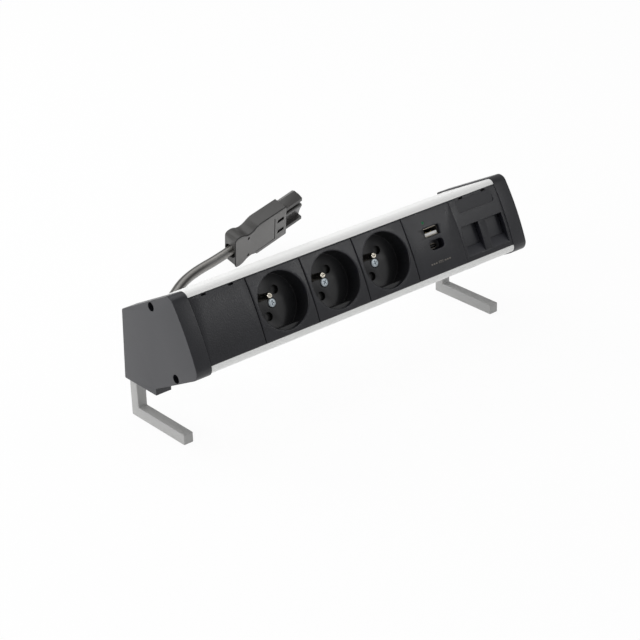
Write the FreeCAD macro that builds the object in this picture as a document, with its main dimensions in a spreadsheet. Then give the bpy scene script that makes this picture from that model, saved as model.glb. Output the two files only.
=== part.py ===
import FreeCAD, Part
import math
import os

import Sketcher

# A desktop power module. A tilted aluminium profile stands on two L-shaped feet and
# holds a blank plate, three sockets with an earth pin, a charger for two plugs and a
# plate for two data outlets. A short lead leaves its back and ends in a connector.
#
# Frame: X along the profile, +Y to the back, +Z up. The origin is on the table, midway
# between the end caps and midway between the front and the back of the body.
# Panel frame: x as X, y up along the slanting front, z straight out of the front. It
# is turned about X by the tilt of the front, and z = 0 is the plane of the lips.

SIZES = [
    # The front and its modules
    ("PanelTilt", 62.6, "angle of the front from the table, degrees"),
    ("PanelY", -29.69, "centre of the front, from the origin"),
    ("PanelZ", 83.95, "height of the centre of the front"),
    ("ModulePitch", 45.0, "width of a module's place"),
    ("ModuleGap", 0.3, "gap between two modules"),
    ("FaceRadius", 181.0, "radius of the crowned front"),
    ("EdgeRadius", 0.4, "rounding of a module's edges"),
    ("PlateWall", 2.0, "wall of a moulded plate"),
    ("SkirtDepth", 11.0, "depth of a plate's skirt"),
    ("LatchReach", 1.1, "how far a latch hooks behind a lip"),
    ("LatchWidth", 8.0, "width of a latch"),
    ("LatchHeight", 3.2, "slope of a latch"),
    ("LatchSeat", 0.3, "gap between a latch and its lip"),
    ("LatchSpread", 11.0, "latch from the middle of its module"),
    ("LatchRoot", 0.2, "latch inside its skirt"),
    ("NotchWidth", 4.2, "width of a release notch"),
    ("NotchHeight", 1.2, "height of a release notch"),
    ("NotchDepth", 2.0, "depth of a release notch behind the lips"),
    ("CutPast", 1.0, "how far a cut runs past the surface it leaves"),
    # The profile
    ("ProfileHeight", 54.2, "height of the profile along the front"),
    ("ProfileDepth", 54.2, "depth of the profile behind the lips"),
    ("ProfileWall", 1.8, "wall of the profile"),
    ("LipThickness", 2.2, "thickness of a lip"),
    ("LipHeight", 4.45, "lip along the front, from the profile's face"),
    ("LipGap", 0.15, "gap between a lip and a module"),
    ("LipRadius", 4.3, "rounding of a lip"),
    ("ScrewPortDepth", 26.0, "screw port behind the lips"),
    ("ScrewPortInset", 2.75, "screw port from the profile's face"),
    ("ScrewPortRadius", 2.6, "outside of a screw port"),
    ("ScrewPortSlot", 1.4, "slot along a screw port"),
    # The end caps
    ("CapThickness", 12.0, "thickness of an end cap"),
    ("CapProud", 1.0, "cap over the profile's top and bottom"),
    ("CapCrown", 0.45, "cap over the modules' faces"),
    ("CapCorner", 5.6, "rounding of the cap's front corners"),
    ("CapEdge", 0.8, "rounding of the cap's outer edge"),
    ("CapBaseZ", 29.0, "underside of the cap over the table"),
    ("CapBackTopY", 38.2, "back of the cap at its top"),
    ("CapBackBottomY", 40.8, "back of the cap at its base"),
    ("CapStepY", 5.45, "front of the cap's base"),
    ("CapCavity", 7.5, "depth of the cap's hollow"),
    ("CavityFront", 5.0, "hollow behind the lips"),
    ("CavityBack", 2.0, "hollow in front of the profile's back"),
    ("ScrewWall", 1.5, "wall between the hollow and a head's hole"),
    ("SpigotLength", 3.0, "length of the cap's spigots"),
    ("SpigotHeight", 4.35, "height of a spigot"),
    ("SpigotDepth", 14.0, "spigot along the profile's depth"),
    ("SpigotGap", 0.15, "gap between a spigot and the profile"),
    ("HeadHole", 6.6, "hole for a cap screw's head"),
    ("HeadHoleDepth", 7.0, "depth of that hole"),
    ("CapScrew", 3.9, "thread of a cap screw"),
    ("CapScrewHead", 6.2, "head of a cap screw"),
    ("CapScrewHeadHeight", 2.4, "height of that head"),
    ("CapScrewGrip", 14.0, "length of a cap screw in the profile"),
    ("CapDrive", 3.1, "recess in a cap screw's head"),
    ("CapDriveDepth", 1.2, "depth of that recess"),
    ("ShankGap", 0.25, "gap round a cap screw in its cap"),
    ("ScrewGap", 0.05, "gap round a thread"),
    # The feet
    ("FootBar", 7.6, "side of a foot's square bar"),
    ("FootLength", 58.0, "length of a foot on the table"),
    ("FootBackY", 41.0, "back of a foot"),
    ("FootInset", 0.8, "foot from the cap's inner face"),
    ("FootEdge", 0.9, "rounding of a foot's edges"),
    ("StudDiameter", 4.0, "stud between a foot and its cap"),
    ("StudHold", 8.0, "stud in the foot, and in the cap"),
    ("StudSpare", 1.0, "room at each end of a stud"),
    # The sockets
    ("RecessRim", 2.85, "frame round a recess at its narrowest"),
    ("RecessDepth", 14.5, "depth of the recess at its middle"),
    ("LedgeWidth", 2.7, "ledges at the top and the bottom of a recess"),
    ("LedgeDepth", 3.0, "ledge behind the lips"),
    ("RimRadius", 0.7, "rounding of the recess's rim"),
    ("FloorThickness", 2.5, "floor of the recess"),
    ("CornerWall", 1.5, "wall round a recess, at the frame's corners"),
    ("CornerFace", 1.2, "face over the hollow corners"),
    ("PinTurn", 55.0, "line of the two holes, degrees"),
    ("PinSpread", 9.5, "hole from the middle of the recess"),
    ("PinHole", 6.0, "hole for a plug's pin"),
    ("EarthSpread", 10.0, "earth pin from the middle"),
    ("EarthPin", 4.8, "diameter of the earth pin"),
    ("EarthSink", 0.5, "tip of the pin under the crowned face"),
    ("EarthHold", 12.0, "earth pin in the base"),
    ("EarthGap", 0.15, "gap round the earth pin in the floor"),
    ("PinDome", 1.6, "height of the earth pin's domed tip"),
    ("PinMark", 0.5, "radius of the mark in its tip"),
    ("PinMarkDepth", 1.0, "depth of that mark"),
    ("MiddleHead", 6.2, "head of the middle screw"),
    ("MiddleHeadHeight", 1.9, "height of that head"),
    ("MiddleThread", 2.9, "thread of the middle screw"),
    ("MiddleLength", 9.0, "length of the middle screw"),
    ("MiddleGap", 0.2, "gap round the middle screw in the floor"),
    ("MiddleSink", 1.0, "seat of its head in the floor"),
    ("CrossLength", 3.6, "cross recess of the middle screw"),
    ("CrossWidth", 0.8, "one arm of that cross"),
    ("CrossDepth", 1.1, "depth of that cross"),
    ("BaseDepth", 26.0, "depth of a socket's base"),
    ("BaseInset", 0.7, "base inside the outline of its front"),
    ("ShutterThickness", 2.0, "thickness of a shutter"),
    ("ShutterGap", 0.3, "running gap round a shutter"),
    ("ShutterTravel", 7.2, "how far a shutter slides"),
    ("ShutterReach", 13.6, "half width of a shutter"),
    ("ShutterInner", 5.6, "half width of its middle notch"),
    ("ShutterTop", 3.8, "shutter above the line of the holes"),
    ("ShutterBottom", 8.3, "shutter below the line of the holes"),
    ("ShutterBridge", 4.8, "top of the bridge between its two pads"),
    ("ContactOuter", 6.4, "outside of a contact sleeve"),
    ("ContactInner", 4.9, "inside of a contact sleeve"),
    ("ContactLength", 14.0, "length of a contact sleeve"),
    ("ContactGap", 0.1, "gap round a contact sleeve"),
    ("ContactBehind", 1.4, "contact sleeves behind the shutter's track"),
    ("ContactFloor", 2.0, "closed end of a contact sleeve"),
    ("SlitWidth", 0.8, "slit of a contact sleeve"),
    ("SlitStart", 5.0, "slit from the closed end"),
    # The charger
    ("UsbFloor", 5.0, "floor of the small port's pocket"),
    ("PocketWall", 1.5, "wall round that pocket"),
    ("LargePortX", -0.1, "large port from the module's middle"),
    ("LargePortY", 7.3, "large port above the module's middle"),
    ("LargePortWidth", 13.2, "outside of the large port's shell"),
    ("LargePortHeight", 5.7, "outside of the large port's shell"),
    ("ShellWall", 0.35, "sheet metal of a port's shell"),
    ("PortFrame", 0.45, "gap between the plate and the large shell"),
    ("ShellCorner", 0.6, "corners of the large shell"),
    ("ShellSink", 1.0, "large shell behind the lips"),
    ("ShellFloor", 2.0, "closed end of a shell"),
    ("ShellGap", 0.1, "gap round the small shell"),
    ("ShellFlat", 0.1, "upright stretch at the small shell's round ends"),
    ("TongueWidth", 11.0, "tongue of the large port"),
    ("TongueThickness", 1.7, "tongue of the large port"),
    ("TongueDrop", 0.75, "tongue under the middle of its port"),
    ("TongueSink", 2.0, "tip of the tongue behind the lips"),
    ("SmallPortX", 0.3, "small port from the module's middle"),
    ("SmallPortY", -3.0, "small port above the module's middle"),
    ("SmallPocketWidth", 11.6, "pocket round the small port"),
    ("SmallPocketHeight", 8.6, "pocket round the small port"),
    ("SmallPocketCorner", 3.0, "corners of that pocket"),
    ("SmallPortWidth", 8.9, "outside of the small port's shell"),
    ("SmallPortHeight", 3.2, "outside of the small port's shell"),
    ("SmallPortProud", 0.6, "small shell over the floor of its pocket"),
    ("SmallTongueWidth", 6.6, "tongue of the small port"),
    ("SmallTongueThickness", 0.7, "tongue of the small port"),
    ("SmallTongueSink", 1.0, "tongue inside its shell"),
    ("LampX", -5.3, "lamp from the module's middle"),
    ("LampDrop", 8.0, "lamp below the plate's upper edge"),
    ("LampDiameter", 2.2, "lamp's light pipe"),
    ("LampGap", 0.05, "gap round the light pipe"),
    ("LampProud", 1.0, "light pipe over the plane of the lips"),
    ("BoardDepth", 17.0, "front of the circuit board, behind the lips"),
    ("BoardThickness", 1.6, "thickness of the circuit board"),
    ("ChargerDepth", 36.0, "back of the charger's housing"),
    ("ChargerWall", 1.5, "wall of the charger's housing"),
    ("BoardLedge", 2.0, "ledge under the circuit board"),
    ("BoardGap", 0.2, "gap round the circuit board"),
    ("CoilX", 8.0, "transformer from the module's middle"),
    ("CoilY", 4.0, "transformer above the module's middle"),
    ("CoilWidth", 16.0, "transformer"),
    ("CoilHeight", 18.0, "transformer"),
    ("CoilDepth", 11.0, "transformer"),
    ("CoilCorner", 1.5, "corners of the transformer"),
    # The data plate
    ("DataSpread", 11.5, "data outlet from the module's middle"),
    ("DataWidth", 16.3, "width of a data outlet"),
    ("DataTop", 2.2, "top of a data outlet above the middle"),
    ("DataMargin", 3.4, "bottom of a data outlet above the plate's edge"),
    ("RampHeight", 6.5, "height of the ramp"),
    ("RampDepth", 5.2, "top of the ramp behind the lips"),
    ("RampRoot", 0.6, "ramp inside the plate's wall"),
    ("RampStep", 0.1, "foot of the ramp under the plate's face"),
    ("DataWall", 1.4, "walls round a data outlet"),
    ("CoverDepth", 6.2, "front of a dust cover behind the lips"),
    ("CoverThickness", 1.5, "thickness of a dust cover"),
    ("CoverLap", 0.4, "dust cover beyond its outlet at each edge"),
    ("CoverTravel", 10.5, "how far a dust cover slides"),
    ("CoverGap", 0.3, "running gap round a dust cover"),
    ("LabelWidth", 34.5, "label window"),
    ("LabelHeight", 9.0, "label window"),
    ("LabelDrop", 6.4, "middle of the label window below the plate's edge"),
    ("LabelCorner", 2.0, "corners of the label window"),
    ("LabelThickness", 1.0, "thickness of the label's cover"),
    ("LabelSink", 0.9, "label's cover under the face"),
    ("LabelGap", 0.1, "gap round the label's cover"),
    ("DataDepth", 30.0, "back of the data frame behind the lips"),
    ("BayTop", 1.75, "top of a data jack's bay above the middle"),
    ("BayFoot", 2.75, "frame under a data jack's bay"),
    ("BayStep", 0.3, "bay inside the edges of its outlet"),
    # Inside the profile
    ("WireDiameter", 2.8, "insulated wire"),
    ("WireSpread", 9.0, "distance between the wires"),
    ("WireGap", 0.15, "gap round a wire"),
    ("WireSink", 0.2, "wire under the back of the sockets' bases"),
    ("BlockLength", 20.0, "terminal block along the profile"),
    ("BlockHeight", 30.0, "terminal block"),
    ("BlockDepth", 20.6, "terminal block"),
    ("WellDiameter", 4.0, "well of a terminal's screw"),
    ("WellDepth", 5.0, "depth of that well"),
    # The lead's way out
    ("GlandX", -101.0, "gland along the profile"),
    ("GlandFlange", 22.0, "across the gland's nut"),
    ("GlandFlangeLength", 5.0, "length of the gland's nut"),
    ("GlandSleeve", 15.0, "gland's sleeve at the nut"),
    ("GlandTip", 10.6, "gland's sleeve at its end"),
    ("GlandLength", 24.0, "gland outside the profile"),
    ("GlandThread", 12.0, "gland's thread in the wall"),
    ("GlandGap", 0.15, "gap round the gland's thread"),
    ("GlandShoulder", 1.0, "slope between the gland's nut and its sleeve"),
    ("NutThickness", 3.5, "lock nut inside the wall"),
    ("NutAcross", 17.0, "lock nut across its flats"),
    ("NutRoom", 20.0, "room round the lock nut"),
    ("NutSpare", 0.3, "room in front of the lock nut"),
    ("CordDiameter", 8.0, "lead"),
    ("CordOut", 20.6, "straight stretch out of the gland"),
    ("CordIn", 13.4, "straight stretch into the connector"),
    # The connector on the lead
    ("ConnectorX", 51.7, "rear lower corner of the connector"),
    ("ConnectorY", 176.8, "rear lower corner of the connector"),
    ("ConnectorYaw", 1.6, "turn of the connector, degrees"),
    ("ConnectorPitch", -14.0, "rise of its front, degrees"),
    ("ConnectorRoll", 20.0, "lean of its broad side, degrees"),
    ("ConnectorLength", 53.4, "connector without its three sleeves"),
    ("ConnectorHeight", 30.0, "height of the connector"),
    ("ConnectorThickness", 13.0, "thickness of the connector"),
    ("ConnectorEdge", 0.7, "rounding of the connector's edges"),
    ("CollarProud", 1.5, "collar at the rear, over the top"),
    ("CollarCorner", 3.0, "slope of the collar's corners"),
    ("CollarEnd", 8.0, "front of the collar"),
    ("WaistDepth", 3.0, "how much the waist draws in"),
    ("WaistStart", 12.0, "rear of the waist"),
    ("WaistEnd", 19.5, "front of the waist"),
    ("ShoulderStart", 25.5, "where the full height is reached"),
    ("SlotStart", 43.2, "key slots from the rear"),
    ("SlotLength", 7.0, "one key slot"),
    ("SlotHeight", 2.8, "one key slot"),
    ("SlotDepth", 2.0, "one key slot"),
    ("SlotLow", 8.0, "lower key slot over the underside"),
    ("SlotHigh", 19.2, "upper key slot over the underside"),
    ("FunnelMouth", 11.4, "mouth round the lead"),
    ("FunnelDepth", 9.0, "depth of that mouth"),
    ("SleeveLength", 17.4, "three sleeves at the connector's front"),
    ("SleeveHeight", 4.6, "one sleeve"),
    ("SleeveWidth", 12.0, "one sleeve"),
    ("SleeveCorner", 1.3, "corners of a sleeve"),
    ("SleevePitch", 10.2, "distance between two sleeves"),
    ("SleeveRise", 17.2, "middle sleeve over the underside"),
    ("CoreWidth", 6.2, "core that joins the sleeves"),
    ("SleeveBore", 3.6, "bore of a sleeve"),
    ("BoreDepth", 12.0, "depth of that bore"),
    ("SleeveHold", 8.0, "insert inside the connector"),
    ("InsertMargin", 1.2, "housing's wall round the insert"),
    ("InsertGap", 0.1, "gap round the insert"),
    ("ContactPin", 3.0, "contact pin in a sleeve"),
    ("PinSink", 2.0, "tip of a contact pin inside its bore"),
]

MODULES = 6
SOCKET_PLACES = [1, 2, 3]
CHARGER_PLACE = 4
DATA_PLACE = 5


class Dim:
    """A size in mm or degrees, with the sheet expression that drives it."""

    def __init__(self, value, text):
        self.value = float(value)
        self.text = text

    def __add__(self, other):
        other = dim(other)
        return Dim(self.value + other.value, f"({self.text} + {other.text})")

    def __sub__(self, other):
        other = dim(other)
        return Dim(self.value - other.value, f"({self.text} - {other.text})")

    def __mul__(self, other):
        other = dim(other)
        return Dim(self.value * other.value, f"({self.text} * {other.text})")

    def __truediv__(self, other):
        other = dim(other)
        return Dim(self.value / other.value, f"({self.text} / {other.text})")

    def __neg__(self):
        return Dim(-self.value, f"(0 - {self.text})")

    def __radd__(self, other):
        return dim(other) + self

    def __rsub__(self, other):
        return dim(other) - self

    def __rmul__(self, other):
        return dim(other) * self


def dim(value):
    if isinstance(value, Dim):
        return value
    return Dim(value, f"({float(value)!r})")


def cosine(angle):
    return Dim(math.cos(math.radians(angle.value)), f"cos({angle.text})")


def sine(angle):
    return Dim(math.sin(math.radians(angle.value)), f"sin({angle.text})")


def root(value):
    return Dim(math.sqrt(value.value), f"sqrt({value.text})")


def smaller(one, other):
    return Dim(min(one.value, other.value), f"min({one.text}; {other.text})")


doc = FreeCAD.newDocument("PowerModule")
sheet = doc.addObject("Spreadsheet::Sheet", "Sizes")
S = {}
for row, (alias, number, note) in enumerate(SIZES, start=1):
    sheet.set(f"A{row}", alias)
    sheet.set(f"B{row}", str(number))
    sheet.set(f"C{row}", note)
    sheet.setAlias(f"B{row}", alias)
    S[alias] = Dim(number, f"Sizes.{alias}")
doc.recompute()


# Sizes that follow from the driving ones
TILT = S["PanelTilt"]
COS = cosine(TILT)
SIN = sine(TILT)
BODY_LENGTH = S["ModulePitch"] * MODULES
MODULE_HEIGHT = S["ProfileHeight"] - (S["LipHeight"] + S["LipGap"]) * 2
HALF_MODULE = MODULE_HEIGHT / 2
MODULE_WIDTH = S["ModulePitch"] - S["ModuleGap"]
HALF_PROFILE = S["ProfileHeight"] / 2
INNER_HALF = HALF_PROFILE - S["ProfileWall"]
INNER_DEPTH = S["ProfileDepth"] - S["ProfileWall"]
PORT_RISE = HALF_PROFILE - S["ScrewPortInset"]
FACE_RISE = S["FaceRadius"] - root(S["FaceRadius"] * S["FaceRadius"] - HALF_MODULE * HALF_MODULE)
FLOOR_Z = FACE_RISE - S["RecessDepth"]
FRONT_BACK_Z = FLOOR_Z - S["FloorThickness"]
BASE_BACK_Z = FRONT_BACK_Z - S["BaseDepth"]
ABOVE_FACE = FACE_RISE + S["CutPast"]
RECESS = smaller(MODULE_HEIGHT, MODULE_WIDTH) - S["RecessRim"] * 2
DATA_BOTTOM = HALF_MODULE - S["DataMargin"]
RAMP_TOP = DATA_BOTTOM - S["RampHeight"]
LABEL_RISE = HALF_MODULE - S["LabelDrop"]
LAMP_RISE = HALF_MODULE - S["LampDrop"]


def module_x(place):
    return S["ModulePitch"] * (place - (MODULES - 1) / 2)


def upright(y, z):
    """A point of the panel frame, in the part's own Y and Z."""
    y, z = dim(y), dim(z)
    return S["PanelY"] + y * COS - z * SIN, S["PanelZ"] + y * SIN + z * COS


def turned(x, y, angle):
    """A point turned about the middle by an angle."""
    x, y = dim(x), dim(y)
    return x * cosine(angle) - y * sine(angle), x * sine(angle) + y * cosine(angle)


def bind(thing, **sizes):
    for name, size in sizes.items():
        thing.setExpression(name, dim(size).text)


def seat(piece, x=0, y=0, z=0, axis=(1, 0, 0), angle=0):
    """Put a piece in place, with its place and turn bound to the sheet."""
    x, y, z, angle = dim(x), dim(y), dim(z), dim(angle)
    turn = FreeCAD.Rotation(FreeCAD.Vector(*axis), angle.value)
    piece.Placement = FreeCAD.Placement(FreeCAD.Vector(x.value, y.value, z.value), turn)
    for name, size in (("x", x), ("y", y), ("z", z)):
        piece.setExpression(f"Placement.Base.{name}", size.text)
    if angle.value:
        piece.setExpression("Placement.Rotation.Angle", angle.text)


def seat_on_panel(piece, x=0):
    seat(piece, x, S["PanelY"], S["PanelZ"], (1, 0, 0), TILT)


pieces = []


def new_body(name):
    body = doc.addObject("PartDesign::Body", name)
    body.Label = name
    pieces.append(body)
    return body


def new_sketch(body, name, plane="XY_Plane", offset=0):
    sketch = body.newObject("Sketcher::SketchObject", f"{body.Name}_{name}")
    support = [f for f in body.Origin.OriginFeatures if f.Role == plane][0]
    sketch.AttachmentSupport = (support, [""])
    sketch.MapMode = "FlatFace"
    offset = dim(offset)
    sketch.AttachmentOffset = FreeCAD.Placement(
        FreeCAD.Vector(0, 0, offset.value), FreeCAD.Rotation()
    )
    sketch.setExpression("AttachmentOffset.Base.z", offset.text)
    return sketch


def fix(sketch, geometry, point, x, y):
    """Tie one point of a sketch to two sizes."""
    for kind, size in (("DistanceX", dim(x)), ("DistanceY", dim(y))):
        number = sketch.addConstraint(Sketcher.Constraint(kind, geometry, point, size.value))
        sketch.setExpression(f"Constraints[{number}]", size.text)


def fix_radius(sketch, geometry, radius):
    number = sketch.addConstraint(Sketcher.Constraint("Radius", geometry, dim(radius).value))
    sketch.setExpression(f"Constraints[{number}]", dim(radius).text)


def draw(sketch, steps):
    """A closed outline. Each step is a corner (x, y), or (x, y, radius) where an arc
    leads to the next corner; the arc bulges to the right of its chord, and to the left
    with a negative radius."""
    first = sketch.GeometryCount
    corners = [tuple(dim(v) for v in step) for step in steps]
    up = FreeCAD.Vector(0, 0, 1)
    for here, after in zip(corners, corners[1:] + corners[:1]):
        a = FreeCAD.Vector(here[0].value, here[1].value, 0)
        b = FreeCAD.Vector(after[0].value, after[1].value, 0)
        if len(here) == 2:
            sketch.addGeometry(Part.LineSegment(a, b))
            continue
        radius = here[2].value
        chord = b - a
        side = up.cross(chord).normalize()
        if radius < 0:
            side = side * -1
        rise = math.sqrt(max(radius * radius - chord.Length**2 / 4, 0))
        centre = (a + b) / 2 + side * rise
        top = centre - side * abs(radius)
        sketch.addGeometry(Part.Arc(a, top, b))
    count = len(corners)
    ends = []
    for step in corners:
        flipped = len(step) == 3 and step[2].value < 0
        ends.append((2, 1) if flipped else (1, 2))
    for number in range(count):
        after = (number + 1) % count
        sketch.addConstraint(
            Sketcher.Constraint(
                "Coincident", first + number, ends[number][1], first + after, ends[after][0]
            )
        )
    for number, step in enumerate(corners):
        fix(sketch, first + number, ends[number][0], step[0], step[1])
        if len(step) == 3:
            fix_radius(sketch, first + number, Dim(abs(step[2].value), f"abs({step[2].text})"))


def draw_box(sketch, x, y, width, height, corner=None):
    """A rectangle about (x, y), with round corners if a radius is given."""
    x, y = dim(x), dim(y)
    a, b = dim(width) / 2, dim(height) / 2
    if corner is None:
        draw(sketch, [(x - a, y - b), (x + a, y - b), (x + a, y + b), (x - a, y + b)])
        return
    r = dim(corner)
    draw(
        sketch,
        [
            (x - a + r, y - b),
            (x + a - r, y - b, r),
            (x + a, y - b + r),
            (x + a, y + b - r, r),
            (x + a - r, y + b),
            (x - a + r, y + b, r),
            (x - a, y + b - r),
            (x - a, y - b + r, r),
        ],
    )


def draw_circle(sketch, x, y, diameter):
    x, y, radius = dim(x), dim(y), dim(diameter) / 2
    middle = FreeCAD.Vector(x.value, y.value, 0)
    index = sketch.addGeometry(Part.Circle(middle, FreeCAD.Vector(0, 0, 1), radius.value))
    fix(sketch, index, 3, x, y)
    fix_radius(sketch, index, radius)


def pad(body, sketch, length, symmetric=False, backwards=False):
    feature = body.newObject("PartDesign::Pad", f"{sketch.Name}_pad")
    feature.Profile = sketch
    bind(feature, Length=length)
    feature.SideType = "Symmetric" if symmetric else "One side"
    feature.Reversed = backwards
    sketch.Visibility = False
    return feature


def pocket(body, sketch, length, symmetric=False, backwards=False):
    """A cut. It runs against the sketch's normal, and along it when backwards."""
    feature = body.newObject("PartDesign::Pocket", f"{sketch.Name}_pocket")
    feature.Profile = sketch
    bind(feature, Length=length)
    feature.SideType = "Symmetric" if symmetric else "One side"
    feature.Reversed = backwards
    return feature


def turn_round(body, sketch, axis="V_Axis"):
    feature = body.newObject("PartDesign::Revolution", f"{sketch.Name}_turn")
    feature.Profile = sketch
    feature.ReferenceAxis = (sketch, [axis])
    feature.Angle = 360
    return feature


def round_edges(body, name, radius, wanted):
    """Round the edges of the body so far for which wanted(edge) holds."""
    doc.recompute()
    base = body.Tip
    names = [f"Edge{n}" for n, edge in enumerate(base.Shape.Edges, start=1) if wanted(edge)]
    if not names:
        raise ValueError(f"{body.Name}: no edges for {name}")
    feature = body.newObject("PartDesign::Fillet", f"{body.Name}_{name}")
    feature.Base = (base, names)
    bind(feature, Radius=radius)
    return feature


def straight_along(edge, direction):
    if edge.Curve.TypeId != "Part::GeomLine":
        return False
    way = edge.tangentAt(edge.FirstParameter)
    return abs(abs(way.dot(FreeCAD.Vector(*direction))) - 1) < 1e-6


def near(value, target, within=0.02):
    return abs(value - dim(target).value) < within


# The aluminium profile: one extrusion, open at the front between two rounded lips,
# with a slotted screw port in its top and in its bottom wall
def profile_extrusion():
    body = new_body("profile_extrusion")
    opening = HALF_MODULE + S["LipGap"]
    r = S["LipRadius"]
    h, depth = HALF_PROFILE, S["ProfileDepth"]
    section = new_sketch(body, "section", "YZ_Plane")
    draw(
        section,
        [
            (opening, 0),
            (opening, -S["LipThickness"]),
            (INNER_HALF, -S["LipThickness"]),
            (INNER_HALF, -INNER_DEPTH),
            (-INNER_HALF, -INNER_DEPTH),
            (-INNER_HALF, -S["LipThickness"]),
            (-opening, -S["LipThickness"]),
            (-opening, 0),
            (-(h - r), 0, r),
            (-h, -r),
            (-h, -depth),
            (h, -depth),
            (h, -r, r),
            (h - r, 0),
        ],
    )
    pad(body, section, BODY_LENGTH, symmetric=True)
    for side in (1, -1):
        word = "upper" if side > 0 else "lower"
        port = new_sketch(body, f"{word}_port", "YZ_Plane")
        draw_circle(port, PORT_RISE * side, -S["ScrewPortDepth"], S["ScrewPortRadius"] * 2)
        pad(body, port, BODY_LENGTH, symmetric=True)
    for side in (1, -1):
        word = "upper" if side > 0 else "lower"
        bore = new_sketch(body, f"{word}_bore", "YZ_Plane")
        draw_circle(
            bore, PORT_RISE * side, -S["ScrewPortDepth"], S["CapScrew"] + S["ScrewGap"] * 2
        )
        pocket(body, bore, BODY_LENGTH + S["CutPast"] * 2, symmetric=True)
        slot = new_sketch(body, f"{word}_slot", "YZ_Plane")
        reach = S["ScrewPortRadius"] + S["CutPast"]
        draw_box(
            slot,
            (PORT_RISE - reach / 2) * side,
            -S["ScrewPortDepth"],
            reach,
            S["ScrewPortSlot"],
        )
        pocket(body, slot, BODY_LENGTH + S["CutPast"] * 2, symmetric=True)
    wall_hole = new_sketch(body, "gland_hole", "XY_Plane", -S["ProfileDepth"] - S["CutPast"])
    draw_circle(wall_hole, S["GlandX"], 0, S["GlandThread"] + S["GlandGap"] * 2)
    pocket(body, wall_hole, S["ProfileWall"] + S["CutPast"] * 2, backwards=True)
    seat_on_panel(body)


# An end cap: a thick moulding with the crowned front's outline, proud of the profile.
# Its back goes down to an upright base that stands on the foot
def end_cap(name, side):
    body = new_body(name)
    inner_x = BODY_LENGTH / 2 * side
    out = side < 0
    h = HALF_PROFILE + S["CapProud"]
    rise = FACE_RISE + S["CapCrown"]
    radius = S["FaceRadius"]
    front_z = rise - (radius - root(radius * radius - h * h))
    top_back_z = (S["PanelY"] + h * COS - S["CapBackTopY"]) / SIN
    step_z = (S["PanelY"] - h * COS - S["CapStepY"]) / SIN
    top_front = upright(h, front_z)
    low_front = upright(-h, front_z)
    outline = new_sketch(body, "outline", "YZ_Plane", inner_x)
    draw(
        outline,
        [
            (*low_front, -radius),
            top_front,
            upright(h, top_back_z),
            (S["CapBackBottomY"], S["CapBaseZ"]),
            (S["CapStepY"], S["CapBaseZ"]),
            upright(-h, step_z),
        ],
    )
    pad(body, outline, S["CapThickness"], backwards=out)

    def front_corner(edge):
        if not straight_along(edge, (1, 0, 0)):
            return False
        middle = edge.CenterOfMass
        return any(
            near(middle.y, y) and near(middle.z, z) for y, z in (top_front, low_front)
        )

    round_edges(body, "corners", S["CapCorner"], front_corner)
    outer_x = inner_x + S["CapThickness"] * side

    def outer_edge(edge):
        box = edge.BoundBox
        return near(box.XMin, outer_x) and near(box.XMax, outer_x)

    round_edges(body, "outer_edge", S["CapEdge"], outer_edge)
    for rise_y, word in ((PORT_RISE, "upper"), (-PORT_RISE, "lower")):
        y, z = upright(rise_y, -S["ScrewPortDepth"])
        head = new_sketch(body, f"{word}_head_hole", "YZ_Plane", outer_x)
        draw_circle(head, y, z, S["HeadHole"])
        pocket(body, head, S["HeadHoleDepth"], backwards=out)
        shank = new_sketch(body, f"{word}_shank_hole", "YZ_Plane", outer_x)
        draw_circle(shank, y, z, S["CapScrew"] + S["ShankGap"] * 2)
        pocket(body, shank, S["CapThickness"] + S["CutPast"], backwards=out)
    # The hollow in the inner side, between the two screws
    hollow = new_sketch(body, "hollow", "YZ_Plane", inner_x)
    room = PORT_RISE - S["HeadHole"] / 2 - S["ScrewWall"]
    front_z, back_z = -S["CavityFront"], -INNER_DEPTH + S["CavityBack"]
    draw(
        hollow,
        [
            upright(-room, front_z),
            upright(room, front_z),
            upright(room, back_z),
            upright(-room, back_z),
        ],
    )
    pocket(body, hollow, S["CapCavity"], backwards=not out)
    # Two spigots that hold the profile's back corners
    for sign, word in ((1, "upper"), (-1, "lower")):
        spigot = new_sketch(body, f"{word}_spigot", "YZ_Plane", inner_x)
        high = (INNER_HALF - S["SpigotGap"]) * sign
        low = (INNER_HALF - S["SpigotGap"] - S["SpigotHeight"]) * sign
        deep = -INNER_DEPTH + S["SpigotGap"]
        draw(
            spigot,
            [
                upright(low, deep + S["SpigotDepth"]),
                upright(high, deep + S["SpigotDepth"]),
                upright(high, deep),
                upright(low, deep),
            ],
        )
        pad(body, spigot, S["SpigotLength"], backwards=not out)
    stud_hole = new_sketch(body, "stud_hole", "XY_Plane", S["CapBaseZ"])
    draw_circle(stud_hole, foot_x(side), stud_y(), S["StudDiameter"] + S["ScrewGap"] * 2)
    pocket(body, stud_hole, S["StudHold"] + S["StudSpare"], backwards=True)
    seat(body)


def foot_x(side):
    return (BODY_LENGTH / 2 + S["FootInset"] + S["FootBar"] / 2) * side


def stud_y():
    return S["FootBackY"] - S["FootBar"] / 2


# A foot: one square bar bent to an L, upright under the cap and flat on the table
def foot(name, side):
    body = new_body(name)
    bar, back = S["FootBar"], S["FootBackY"]
    outline = new_sketch(body, "outline", "YZ_Plane", foot_x(side))
    draw(
        outline,
        [
            (back, 0),
            (back, S["CapBaseZ"]),
            (back - bar, S["CapBaseZ"]),
            (back - bar, bar),
            (back - S["FootLength"], bar),
            (back - S["FootLength"], 0),
        ],
    )
    pad(body, outline, bar, symmetric=True)

    def long_edge(edge):
        return not near(edge.CenterOfMass.z, S["CapBaseZ"])

    round_edges(body, "edges", S["FootEdge"], long_edge)
    hole = new_sketch(body, "stud_hole", "XY_Plane", S["CapBaseZ"])
    draw_circle(hole, foot_x(side), stud_y(), S["StudDiameter"] + S["ScrewGap"] * 2)
    pocket(body, hole, S["StudHold"] + S["StudSpare"])
    seat(body)


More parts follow.
